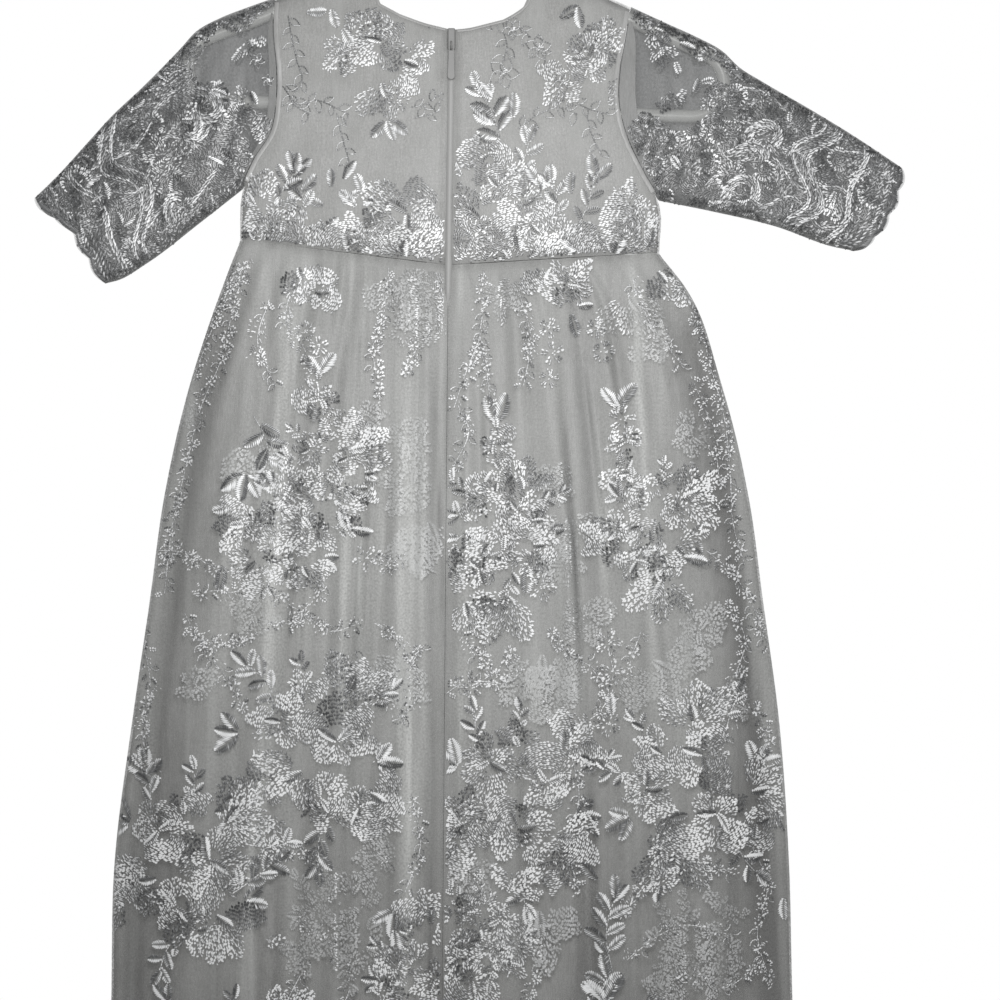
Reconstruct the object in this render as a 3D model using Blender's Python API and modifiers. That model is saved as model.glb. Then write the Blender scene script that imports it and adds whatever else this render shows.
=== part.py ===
"""A baby's christening gown hanging on a small plastic hanger, seen from its back.

The frame is in metres with +Z up. The origin is the place under the hook's arch where a rail
bears, +X is the right of someone who looks at the gown's back, and the back faces -Y.
The gown has an empire bodice and a long gathered skirt, each of embroidered tulle over a satin
lining, elbow sleeves of the tulle alone, and a concealed zip down the centre of the back.
"""

import math

import bmesh
import bpy
import numpy as np

# Driving sizes, in millimetres. "down" is a height below the rail.
MM = 0.001
TILT = math.radians(1.9)  # the hanger hangs this far round, right side low
WALL = 1.0  # each layer of cloth
SEAM = 0.3  # between pieces that are sewn together
WAIST_EASE = 0.25  # more room on each side of the waist seam, where the walls' edges lean
LINING_ROUND = 4.2  # radius of a folded edge on the lining's inner face
LACE_ROUND = LINING_ROUND + WALL + SEAM
OUTER_ROUND = LACE_ROUND + WALL  # and on the gown's outer face
SOFTNESS = 60.0  # how far in from a folded edge the cloth goes on swelling
BODICE_FULLNESS = 4.5  # what the middle of the bodice swells beyond its edges
CUFF_FULLNESS = 9.0
HEM = 819.0
LINING_HEM = 808.0

HANGER_APEX = (1.1, 59.4)  # x and down of the tube's centre line under the hook
HANGER_TUBE = 3.7
HANGER_SLOPE = math.radians(22.4)
HANGER_BAR = 92.0  # from the apex to the lower bar
HANGER_CORNER = 18.3
HANGER_PEAK = 14.0  # radius of the bend at the apex
HOOK_WIRE = 3.0
HOOK_ARCH = 16.0
HOOK_TIP = math.radians(205)  # where the arch ends, and where it turns into the stem
HOOK_TURN = math.radians(-50)
HOOK_FLOW = 14.0  # how strongly the arch and the stem keep their headings where they join
STEM_TOP = 22.0
STEM_HOLD = 2.0  # the stem ends this far under the collar's top, inside it
COLLAR_RADIUS = 5.6
COLLAR_FOOT = -1.0
COLLAR_TOP = 10.0

# The folded edges of the gown, each a row of (x, down).
SHOULDER_LEFT = ((-51.2, 70.2), (-101.2, 89.6))
SHOULDER_RIGHT = ((45.1, 72.2), (95.7, 94.8))
SLEEVE_TOP_LEFT = (
    (-101.2, 89.6),
    (-116.9, 95.2),
    (-130.9, 100.6),
    (-144.9, 108.2),
    (-153.6, 117.6),
    (-174.9, 139.2),
    (-192.5, 155.7),
    (-204.6, 168.9),
    (-222.2, 188.1),
    (-236.0, 201.3),
)
SLEEVE_TOP_RIGHT = (
    (95.7, 94.8),
    (117.7, 104.9),
    (132.0, 111.4),
    (146.9, 119.6),
    (155.5, 128.0),
    (168.9, 136.4),
    (194.2, 151.0),
    (220.0, 166.7),
    (247.2, 184.8),
)
SLEEVE_UNDER_LEFT = ((-119.9, 196.4), (-143.0, 214.5), (-173.0, 237.3), (-188.7, 246.6), (-196.9, 249.0))
SLEEVE_UNDER_RIGHT = ((111.1, 202.4), (141.4, 208.5), (176.0, 216.7), (206.8, 227.7), (220.0, 230.8))
CUFF_LEFT = ((-236.0, 201.3), (-226.5, 211.0), (-216.0, 218.0), (-208.5, 230.0), (-196.9, 249.0))
CUFF_RIGHT = ((247.2, 184.8), (244.0, 199.0), (238.0, 213.0), (230.0, 224.5), (220.0, 230.8))
SCALLOPS = 4  # along each side of a cuff
SCALLOP_DEPTH = 2.2
CUFF_FACES = (0.83, 0.55)  # the way that the cuff's opening faces: outward and down
NECK_POINTS = (SHOULDER_LEFT[0][0], SHOULDER_RIGHT[0][0])
NECK_LEVEL = 95.0
WAIST_LEVEL = 230.0
SKIRT_LEVEL = 236.0
SHOULDER_SPREAD = 1.09  # a shoulder slopes, so its quarter round is this much taller upright
NECK_TURN = (0.0, 0.4, 1.1, 2.2)  # columns this far in from a neck point, where the edge drops
BODICE_STEP = 15.0  # about the width of a bodice panel's other columns
# A bodice panel's rows, as shares of the way to the waist; they lie close around the armpit.
BODICE_ROWS = (0.18, 0.36, 0.54, 0.716, 0.744, 0.767, 0.803, 0.9, 1.0)
ARMPIT_EASE = (24.0, 8.0, 1.4)  # the sleeve starts further out from 24 to 8 mm above the armpit
SLEEVE_COLUMNS = 15
SLEEVE_ROWS = (0.0, 0.14, 0.26, 0.34, 0.5, 0.74, 1.0)
SKIRT_ROWS = (0.0, 0.012, 0.028, 0.044, 0.13, 0.24, 0.36, 0.5, 0.66, 0.82, 1.0)

# Rows of (down, x) from the shoulder down the armhole and the side seam to the hem.
ARMPIT_LEFT = 196.4
ARMPIT_RIGHT = 202.4
BODICE_LEFT = (
    (89.0, -101.6),
    (111.0, -102.0),
    (130.0, -100.1),
    (148.0, -100.3),
    (166.0, -103.8),
    (181.0, -113.3),
    (196.4, -119.9),
    (225.0, -121.6),
)
BODICE_RIGHT = (
    (94.0, 95.7),
    (112.0, 92.5),
    (130.0, 89.4),
    (148.0, 88.6),
    (170.0, 94.1),
    (188.0, 102.9),
    (202.4, 111.1),
    (232.0, 111.9),
)
SKIRT_LEFT = (
    (225.0, -121.6),
    (249.0, -130.9),
    (313.0, -151.8),
    (368.0, -163.9),
    (424.0, -171.6),
    (484.0, -180.4),
    (575.0, -191.6),
    (643.0, -193.0),
    (819.0, -197.0),
)
SKIRT_RIGHT = (
    (232.0, 111.9),
    (249.0, 125.4),
    (304.0, 146.3),
    (368.0, 161.7),
    (424.0, 169.4),
    (492.0, 178.5),
    (570.0, 183.9),
    (643.0, 185.7),
    (819.0, 192.0),
)
# What the middle of the body swells beyond its folded edges: (down, fullness).
BODY_FULLNESS = ((89.0, 4.5), (180.0, 4.5), (232.0, 5.5), (300.0, 12.0), (450.0, 19.0), (819.0, 28.0))

# The necklines and the waist seam: (x, down).
BACK_NECK = (
    (-101.2, 89.6),
    (-51.2, 70.2),
    (-44.0, 93.5),
    (-31.9, 100.1),
    (-18.2, 105.1),
    (-3.6, 108.8),
    (6.6, 107.8),
    (25.9, 102.8),
    (34.1, 97.9),
    (38.5, 93.5),
    (45.1, 72.2),
    (95.7, 94.8),
)
FRONT_NECK = (
    (-101.2, 89.6),
    (-51.2, 70.2),
    (-45.0, 98.0),
    (-33.0, 115.0),
    (-18.0, 124.0),
    (-3.0, 126.5),
    (12.0, 124.5),
    (27.0, 116.0),
    (39.0, 99.0),
    (45.1, 72.2),
    (95.7, 94.8),
)
BACK_WAIST = ((-121.6, 224.5), (-5.3, 239.0), (111.9, 231.6))
FRONT_WAIST = ((-121.6, 224.5), (-5.0, 231.0), (111.9, 231.6))

# The skirt: gathers stand up close together under the waist seam and run out further down.
GATHERS = 17  # across the back, and across the front
GATHER_HEIGHT = 2.0
GATHER_RUN = 95.0
GATHER_START = 0.35  # the share of their height that they have at the seam
GATHER_RISE = 14.0  # they reach their full height this far under it
PANEL_RISE = 10.0
PANEL_LIFT = 0.6  # the tulle skirt stands this far off the lining between its folds
FOLD_HEIGHT = 5.5
FOLD_START = 70.0  # the long folds grow from nothing over this length
SWAY_HEIGHT = 2.5  # slow waves that the lining and the tulle share
SWAY_LENGTH = 92.0
SWAY_DRIFT = 160.0  # they lean as they run down: one radian in this length
SWAY_GROWS = (250.0, 700.0)  # from nothing at the first height down to their full size
SWAY_MARGIN = 40.0  # they fade out over this distance towards a folded edge
FOLD_MARGIN = 16.0
CENTRE_VALLEY = 11.5  # half width of the valley that the centre back seam lies in
# The valleys between the long folds: x at the waist, half way and at the hem, share, half width.
BACK_VALLEYS = (
    (-97.0, -131.0, -152.0, 0.6, 12.0),
    (-64.0, -88.0, -102.0, 0.8, 10.0),
    (-37.0, -46.0, -55.0, 0.6, 11.0),
    (23.0, 30.0, 33.0, 0.5, 11.0),
    (47.0, 69.0, 76.0, 1.0, 8.0),
    (72.0, 119.0, 126.0, 0.8, 9.0),
    (94.0, 149.0, 163.0, 0.5, 11.0),
)
FRONT_VALLEYS = (
    (-99.0, -142.0, -160.0, 0.6, 12.0),
    (-72.0, -101.0, -112.0, 0.9, 9.0),
    (-43.0, -58.0, -66.0, 0.7, 10.0),
    (-17.0, -21.0, -24.0, 0.9, 9.0),
    (11.0, 17.0, 21.0, 0.6, 12.0),
    (36.0, 58.0, 66.0, 1.0, 8.0),
    (66.0, 98.0, 111.0, 0.7, 10.0),
    (90.0, 141.0, 157.0, 0.6, 11.0),
)

# The zip, down the centre of the back.
ZIP_TOP = (-3.6, 109.2)
ZIP_FOOT = (-5.5, 254.0)
ZIP_TEETH = 4.0
ZIP_TEETH_WALL = 1.5
ZIP_TAPE = 24.0
TAPE_ROOM = 0.5  # between the tape and the lining that it lies behind
SEAM_FROM_ZIP = (1.5, 10.0)  # the centre back edges close up this far under the zip's foot
SLIDER_SIZE = (4.2, 2.2, 11.6)
SLIDER_BEVEL = 0.7
SLIDER_CENTRE = 114.6
BAIL_RADIUS = 2.1
BAIL_WIRE = 0.5
BAIL_REACH = 0.62 * math.pi  # the arc of the bail on each side of its furthest point
TAB_PIVOT = 118.4
TAB_STAND = 0.8  # from the slider's face to the tab's axis
TAB_LENGTH = 18.8
TAB_THICK = 0.8
TAB_TOP_WIDTH = 2.7
TAB_END_WIDTH = 3.8
TAB_NECK = 5.0  # where the tab starts to widen
TAB_BAR = 0.4  # the bar that turns in the bail reaches this far either side of the axis
TAB_EYE = (1.6, 3.0)

COLOURS = {
    "satin": (0.62, 0.625, 0.61, 1.0),
    "tulle": (0.68, 0.685, 0.67, 1.0),
    "zip_tape": (0.70, 0.70, 0.69, 1.0),
    "zip_metal": (0.66, 0.66, 0.65, 1.0),
    "hanger_plastic": (0.80, 0.80, 0.79, 1.0),
}


def collection(name):
    """A collection of that name in the scene."""
    made = bpy.data.collections.new(name)
    bpy.context.scene.collection.children.link(made)
    return made


def material(name, roughness, metallic=0.0):
    """A plain Principled material in the colour of that name."""
    made = bpy.data.materials.new(name)
    made.use_nodes = True
    shader = made.node_tree.nodes["Principled BSDF"]
    shader.inputs["Base Color"].default_value = COLOURS[name]
    shader.inputs["Roughness"].default_value = roughness
    shader.inputs["Metallic"].default_value = metallic
    return made


def add(name, data, group, finish):
    """An object for that mesh or curve, in the group, with its material."""
    made = bpy.data.objects.new(name, data)
    group.objects.link(made)
    data.materials.append(finish)
    return made


def through(rows, at):
    """The smooth curve through a table's rows, (place, value), at the places asked for."""
    x, y = np.array(rows, float).T[:2]
    slope = np.gradient(y, x)
    i = np.clip(np.searchsorted(x, at) - 1, 0, len(x) - 2)
    step = x[i + 1] - x[i]
    t = np.clip((at - x[i]) / step, 0.0, 1.0)
    start = y[i] * (1 + 2 * t) * (1 - t) ** 2 + step * slope[i] * t * (1 - t) ** 2
    return start + y[i + 1] * t * t * (3 - 2 * t) - step * slope[i + 1] * t * t * (1 - t)


def along(points, share):
    """The places at those shares of the length of the line through the points."""
    p = np.array(points, float)
    run = np.append(0.0, np.cumsum(np.hypot(*np.diff(p, axis=0).T)))
    fine = np.linspace(0.0, run[-1], 81)
    x = through(np.column_stack([run, p[:, 0]]), fine)
    down = through(np.column_stack([run, p[:, 1]]), fine)
    at = np.asarray(share) * run[-1]
    return np.stack([np.interp(at, fine, x), np.interp(at, fine, down)], axis=-1)


def smoothstep(low, high, value):
    """0 below low and 1 above high, with a soft turn between them."""
    t = np.clip((value - low) / (high - low), 0.0, 1.0)
    return t * t * (3 - 2 * t)


def folded_edges():
    """Both ends of every short stretch of the gown's folded edges, as two arrays of (x, down)."""
    share = np.linspace(0.0, 1.0, 25)
    lines = [along(rows, share) for rows in (SLEEVE_TOP_LEFT, SLEEVE_TOP_RIGHT)]
    lines += [along(rows, share) for rows in (SLEEVE_UNDER_LEFT, SLEEVE_UNDER_RIGHT)]
    lines += [np.array(SHOULDER_LEFT), np.array(SHOULDER_RIGHT)]
    for bodice, skirt, armpit in (
        (BODICE_LEFT, SKIRT_LEFT, ARMPIT_LEFT),
        (BODICE_RIGHT, SKIRT_RIGHT, ARMPIT_RIGHT),
    ):
        upper = np.linspace(armpit, bodice[-1][0], 5)
        lower = np.linspace(skirt[0][0], HEM + 20, 40)
        lines.append(np.column_stack([through(bodice, upper), upper]))
        lines.append(np.column_stack([through(skirt, lower), lower]))
    return np.concatenate([p[:-1] for p in lines]), np.concatenate([p[1:] for p in lines])


EDGE_STARTS, EDGE_ENDS = folded_edges()


def from_edge(x, down):
    """How far each point is from the nearest folded edge."""
    point = np.stack([x, down], axis=-1)[..., None, :]
    run = EDGE_ENDS - EDGE_STARTS
    share = ((point - EDGE_STARTS) * run).sum(-1) / (run * run).sum(-1)
    nearest = EDGE_STARTS + np.clip(share, 0.0, 1.0)[..., None] * run
    return np.linalg.norm(point - nearest, axis=-1).min(-1)


def depth(x, down, radius, fullness):
    """Half the thickness of the hollow body there, for the layer whose folded edge has that radius.

    It follows a quarter round in from the folded edge, and then swells towards the middle by
    fullness * (1 - exp(-distance / SOFTNESS)).
    """
    inside = from_edge(x, down) - OUTER_ROUND
    rounding = np.sqrt(np.maximum(radius**2 - np.minimum(inside, 0.0) ** 2, 0.0))
    swell = fullness * (1 - np.exp(-np.maximum(inside, 0.0) / SOFTNESS))
    return np.maximum(rounding + swell, SEAM / 2)


def sheet(name, x, down, out, facing, finish, ring=False):
    """A cloth wall on a grid of points; facing is -1 for the back and 1 for the front."""
    rows, columns = x.shape
    points = np.stack([x, facing * out, -down], axis=-1).reshape(-1, 3) * MM
    i, j = np.meshgrid(np.arange(rows - 1), np.arange(columns if ring else columns - 1), indexing="ij")
    right = (j + 1) % columns
    corners = [i * columns + j, (i + 1) * columns + j, (i + 1) * columns + right, i * columns + right]
    faces = np.stack(corners, axis=-1).reshape(-1, 4)
    if not ring and facing > 0:
        faces = faces[:, ::-1]
    mesh = bpy.data.meshes.new(name)
    mesh.from_pydata(points.tolist(), [], faces.tolist())
    mesh.shade_smooth()
    made = add(name, mesh, GOWN, finish)
    shell = made.modifiers.new("cloth", "SOLIDIFY")
    shell.thickness = WALL * MM
    shell.offset = 1.0
    return made


def round_in(radius):
    """How far in from the gown's outline a quarter round of that radius has its points."""
    return OUTER_ROUND - radius * np.cos(np.radians([0.0, 30.0, 60.0, 90.0]))


def centre_back(down):
    """The x of the centre back line, which the zip follows."""
    return np.interp(down, (ZIP_TOP[1], ZIP_FOOT[1], HEM), (ZIP_TOP[0], ZIP_FOOT[0], ZIP_FOOT[0] - 4.0))


def zip_parting(down):
    """How far apart the centre back edges are: the zip's teeth and a seam each side, or a seam."""
    closed = smoothstep(ZIP_FOOT[1] + SEAM_FROM_ZIP[0], ZIP_FOOT[1] + SEAM_FROM_ZIP[1], down)
    return SEAM + (ZIP_TEETH + SEAM) * (1 - closed)


def bodice_edges(part, down):
    """The left and right lines of a bodice panel, and how far each is a folded edge."""
    left = through(BODICE_LEFT, down)
    right = through(BODICE_RIGHT, down)
    fold_left = smoothstep(ARMPIT_LEFT - 8, ARMPIT_LEFT + 3, down)
    fold_right = smoothstep(ARMPIT_RIGHT - 8, ARMPIT_RIGHT + 3, down)
    if part == "left":
        return left, centre_back(down), fold_left, np.zeros_like(down)
    if part == "right":
        return centre_back(down), right, np.zeros_like(down), fold_right
    return left, right, fold_left, fold_right


def bodice_columns(part, down, inner, radius):
    """The x of every column of a bodice panel at each of those heights.

    A side seam is a folded edge: it starts inside the outline with a quarter round. An armhole
    or a centre edge starts half its gap inside its line.
    """
    left, right, fold_left, fold_right = bodice_edges(part, down)
    turn = round_in(radius)
    gap = zip_parting(down) / 2
    left_gap = gap if part == "right" else SEAM / 2
    right_gap = gap if part == "left" else SEAM / 2
    low = [left + left_gap + (turn[0] - left_gap) * fold_left]
    high = [right - right_gap - (turn[0] - right_gap) * fold_right]
    low += [low[0] + extra for extra in turn[1:] - turn[0]] if part != "right" else []
    high += [high[0] - extra for extra in turn[1:] - turn[0]] if part != "left" else []
    middle = [low[-1] + (high[-1] - low[-1]) * share for share in inner[1:-1]]
    return np.stack(low + middle + high[::-1], axis=1)


def own_level(columns_at, down):
    """The x of each column at its own height, for a grid of heights in rows."""
    return np.stack([np.diagonal(columns_at(level)) for level in down])


def neck_shares(part, radius):
    """The shares of a bodice panel's width that its inner columns have, one on each neck point."""
    bare = bodice_columns(part, np.full(1, NECK_LEVEL), np.array([0.0, 1.0]), radius)[0]
    turns = len(round_in(radius)) - 1
    low = bare[turns] if part != "right" else bare[0]
    high = bare[-1 - turns] if part != "left" else bare[-1]
    marks = [0.0, 1.0]
    for neck, inward in zip(NECK_POINTS, (1.0, -1.0), strict=True):
        marks += [(neck + inward * step - low) / (high - low) for step in NECK_TURN if low < neck < high]
    marks.sort()
    shares = [0.0]
    for start, stop in zip(marks[:-1], marks[1:], strict=True):
        steps = max(1, round((stop - start) * (high - low) / BODICE_STEP))
        shares += list(np.linspace(start, stop, steps + 1)[1:])
    return np.array(shares)


def bodice_levels(top, foot, radius, on_shoulder):
    """The heights of a bodice panel's rows: a quarter round at the top, then steps to the waist."""
    turn = round_in(radius)
    neck_turn = round_in(OUTER_ROUND)
    reach = turn[:, None] * on_shoulder + neck_turn[:, None] * (1 - on_shoulder)
    rounding = top + reach * SHOULDER_SPREAD
    shares = np.array(BODICE_ROWS)[:, None]
    return np.concatenate([rounding, rounding[-1] + (foot - rounding[-1]) * shares])


def bodice(name, part, neck, waist, radius, finish, facing):
    """A bodice panel: part is left, right or whole."""
    inner = neck_shares(part, radius)
    at_neck = bodice_columns(part, np.full(1, NECK_LEVEL), inner, radius)[0]
    at_waist = bodice_columns(part, np.full(1, WAIST_LEVEL), inner, radius)[0]
    top = np.interp(at_neck, *np.array(neck).T)
    foot = np.interp(at_waist, *np.array(waist).T) - SEAM / 2 - WAIST_EASE
    on_shoulder = 1 - smoothstep(NECK_POINTS[0], NECK_POINTS[0] + 2, at_neck)
    on_shoulder += smoothstep(NECK_POINTS[1] - 2, NECK_POINTS[1], at_neck)
    down = bodice_levels(top, foot, radius, on_shoulder)
    x = own_level(lambda level: bodice_columns(part, level, inner, radius), down)
    out = depth(x, down, radius, through(BODY_FULLNESS, down))
    return sheet(name, x, down, out, facing, finish)


def armhole(side, levels):
    """The x of the armhole's line, with corners only at the heights where the bodice has rows."""
    rows, waist = (BODICE_LEFT, BACK_WAIST[0]) if side == "left" else (BODICE_RIGHT, BACK_WAIST[-1])
    shoulder = SHOULDER_LEFT[1][1] if side == "left" else SHOULDER_RIGHT[1][1]
    foot = waist[1] - SEAM / 2 - WAIST_EASE
    corners = bodice_levels(np.full(1, shoulder), np.full(1, foot), LACE_ROUND, np.ones(1))[:, 0]
    return np.interp(levels, corners, through(rows, corners))


def skirt_columns(part, down, inner, radius):
    """The x of every column of a skirt panel at each of those heights."""
    step = 1.0
    edges = []
    for rows, sign in ((SKIRT_LEFT, 1.0), (SKIRT_RIGHT, -1.0)):
        lean = np.hypot(1.0, (through(rows, down + step) - through(rows, down)) / step)
        edges.append([through(rows, down) + sign * turn * lean for turn in round_in(radius)])
    gap = zip_parting(down) / 2
    low = [centre_back(down) + gap] if part == "right" else edges[0]
    high = [centre_back(down) - gap] if part == "left" else edges[1]
    middle = [low[-1] + (high[-1] - low[-1]) * share for share in inner[1:-1]]
    return np.stack(low + middle + high[::-1], axis=1)


def sway(x, down):
    """Slow waves down the skirt, which begin under the waist."""
    height = SWAY_HEIGHT * smoothstep(*SWAY_GROWS, down)
    return height * (1 + np.sin(2 * np.pi * x / SWAY_LENGTH + down / SWAY_DRIFT))


def folds(x, down, valleys, top):
    """How far the tulle stands off: long folds with narrow valleys, and gathers under the seam."""
    below = down - top
    share = below / (HEM - top)
    valley = np.zeros_like(x)
    if valleys is BACK_VALLEYS:
        valley += np.exp(-(((x - centre_back(down)) / CENTRE_VALLEY) ** 4))
    for waist, middle, hem, strength, half_width in valleys:
        at = through(((0.0, waist), (0.5, middle), (1.0, hem)), share)
        valley += strength * np.exp(-(((x - at) / half_width) ** 2))
    long_folds = FOLD_HEIGHT * smoothstep(0.0, FOLD_START, below) * np.clip(1 - valley, 0.0, 1.0)
    left, right = through(SKIRT_LEFT, down), through(SKIRT_RIGHT, down)
    turn = 2 * np.pi * GATHERS * (x - left) / (right - left)
    uneven = 0.8 + 0.2 * np.sin(turn / 5.3 + 1.0)
    height = GATHER_HEIGHT * (GATHER_START + (1 - GATHER_START) * smoothstep(0.0, GATHER_RISE, below))
    gathers = height * uneven * np.exp(-((below / GATHER_RUN) ** 2)) * 0.5 * (1 - np.cos(turn))
    return (long_folds + gathers) * smoothstep(0.0, FOLD_MARGIN, from_edge(x, down) - OUTER_ROUND)


def skirt(name, part, waist, hem, radius, finish, facing, columns, valleys=None):
    """A skirt panel: part is left, right or whole, and valleys are those of the tulle's folds."""
    inner = np.linspace(0.0, 1.0, columns)
    wide = skirt_columns(part, np.full(1, SKIRT_LEVEL), inner, radius)[0]
    top = np.interp(wide, *np.array(waist).T) + SEAM / 2 + WAIST_EASE
    shares = np.array(SKIRT_ROWS)[:, None]
    down = np.minimum(top + shares * (HEM - top), hem)
    x = own_level(lambda level: skirt_columns(part, level, inner, radius), down)
    out = depth(x, down, radius, through(BODY_FULLNESS, down))
    inside = smoothstep(0.0, SWAY_MARGIN, from_edge(x, down) - OUTER_ROUND)
    out += sway(x, down) * inside
    if valleys:
        out += folds(x, down, valleys, top) + PANEL_LIFT * smoothstep(0.0, PANEL_RISE, down - top)
    return sheet(name, x, down, out, facing, finish)


def sleeve(name, side, finish):
    """A sleeve: a flattened tube between the armhole, the top fold, the under fold and the cuff.

    In the plane it is the patch between those four lines, and its thickness is that of the
    gown. The cuff's edge runs out in scallops.
    """
    left = side == "left"
    top_line = SLEEVE_TOP_LEFT if left else SLEEVE_TOP_RIGHT
    under_line = SLEEVE_UNDER_LEFT if left else SLEEVE_UNDER_RIGHT
    armpit = ARMPIT_LEFT if left else ARMPIT_RIGHT
    outward = -1.0 if left else 1.0
    s = np.array(SLEEVE_ROWS)[:, None]
    wide = np.hypot(*(along(top_line, s[:, 0]) - along(under_line, s[:, 0])).T)[:, None]
    turn = round_in(LACE_ROUND)
    inner = np.linspace(0.0, 1.0, SLEEVE_COLUMNS)[None, 1:-1]
    edge = turn[None, :] / wide
    v = np.concatenate([edge, edge[:, -1:] + (1 - 2 * edge[:, -1:]) * inner, 1 - edge[:, ::-1]], axis=1)
    shoulder = top_line[0][1]
    levels = shoulder + v * (armpit - shoulder)
    above, clear, ease = ARMPIT_EASE
    gap = SEAM / 2 + ease * smoothstep(armpit - above, armpit - clear, levels)
    start = np.stack([armhole(side, levels) + outward * gap, levels], axis=-1)
    end = along(CUFF_LEFT if left else CUFF_RIGHT, v)
    top = along(top_line, s)
    under = along(under_line, s)
    s3, v3 = s[..., None], v[..., None]
    corners = (1 - s3) * ((1 - v3) * top[0] + v3 * under[0]) + s3 * ((1 - v3) * top[-1] + v3 * under[-1])
    plane = (1 - s3) * start + s3 * end + (1 - v3) * top + v3 * under - corners
    run = np.array(CUFF_FACES) * (outward, 1.0)
    scallop = SCALLOP_DEPTH * np.abs(np.sin(np.pi * SCALLOPS * v)) * smoothstep(0.8, 1.0, s)
    plane = plane + (scallop - 0.5 * SCALLOP_DEPTH * smoothstep(0.8, 1.0, s))[..., None] * run
    x, down = plane[..., 0], plane[..., 1]
    fullness = BODICE_FULLNESS + (CUFF_FULLNESS - BODICE_FULLNESS) * s * s * np.ones_like(v)
    out = depth(x, down, LACE_ROUND, fullness)
    out[:, [0, -1]] = 0.0
    order = slice(None) if left else slice(None, None, -1)
    ring = [np.concatenate([a, b[:, 1:-1][:, ::-1]], axis=1) for a, b in ((x, x), (down, down), (-out, out))]
    x, down, y = (part[:, order] for part in ring)
    return sheet(name, x, down, y, 1, finish, ring=True)


def strip(name, half_width, lift, wall, top, foot, finish, steps=13):
    """A straight band down the centre back that stands at that lift above the lining's inner face."""
    down = np.linspace(top, foot, steps)[:, None] * np.ones(3)
    x = centre_back(down) + np.array([-half_width, 0.0, half_width])
    out = depth(x, down, LINING_ROUND, through(BODY_FULLNESS, down)) + lift
    made = sheet(name, x, down, out, -1, finish)
    made.modifiers["cloth"].thickness = wall * MM
    return made


def hanger_place(points):
    """Places on the hanger, given as (x, height) from its apex, in the gown's (x, height)."""
    x, up = np.array(points, float).T
    turned_x = HANGER_APEX[0] + x * math.cos(TILT) + up * math.sin(TILT)
    turned_up = -HANGER_APEX[1] - x * math.sin(TILT) + up * math.cos(TILT)
    return np.stack([turned_x, turned_up], axis=1)


def arc(centre, radius, start, stop, steps):
    """Points on an arc from one angle to another."""
    angle = np.linspace(start, stop, steps)
    return np.column_stack([centre[0] + radius * np.cos(angle), centre[1] + radius * np.sin(angle)])


def tube(name, points, radius, closed, finish, group):
    """A round tube along points given as (x, height) in millimetres."""
    curve = bpy.data.curves.new(name, "CURVE")
    curve.dimensions = "3D"
    curve.bevel_depth = radius * MM
    curve.bevel_resolution = 3
    curve.use_fill_caps = True
    line = curve.splines.new("POLY")
    line.points.add(len(points) - 1)
    for point, (x, up) in zip(line.points, points, strict=True):
        point.co = (x * MM, 0.0, up * MM, 1.0)
    line.use_cyclic_u = closed
    return add(name, curve, group, finish)


def as_mesh(curved):
    """The same piece as a mesh with its caps welded, in place of the curve."""
    bpy.context.view_layer.update()
    mesh = bpy.data.meshes.new_from_object(curved.evaluated_get(bpy.context.evaluated_depsgraph_get()))
    work = bmesh.new()
    work.from_mesh(mesh)
    bmesh.ops.remove_doubles(work, verts=work.verts, dist=1e-6)
    work.to_mesh(mesh)
    work.free()
    name, place, group = curved.name, curved.matrix_world.copy(), curved.users_collection[0]
    curve = curved.data
    bpy.data.objects.remove(curved)
    bpy.data.curves.remove(curve)
    made = bpy.data.objects.new(name, mesh)
    group.objects.link(made)
    made.matrix_world = place
    return made


def boolean(piece, other, operation):
    """A live exact Boolean on the piece."""
    cut = piece.modifiers.new(operation.lower(), "BOOLEAN")
    cut.operation = operation
    cut.object = other
    cut.solver = "EXACT"


def as_cutter(piece):
    """The piece as a guide that isn't part of the model."""
    piece.hide_render = True
    piece.display_type = "WIRE"
    return piece


def cylinder(name, radius, length, centre, turn, group, finish, sides=24):
    """A round bar; it stands along Z before it is turned."""
    mesh = bpy.data.meshes.new(name)
    work = bmesh.new()
    bmesh.ops.create_cone(
        work,
        cap_ends=True,
        segments=sides,
        radius1=radius * MM,
        radius2=radius * MM,
        depth=length * MM,
    )
    work.to_mesh(mesh)
    work.free()
    made = add(name, mesh, group, finish)
    made.location = [c * MM for c in centre]
    made.rotation_euler = turn
    return made


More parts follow.
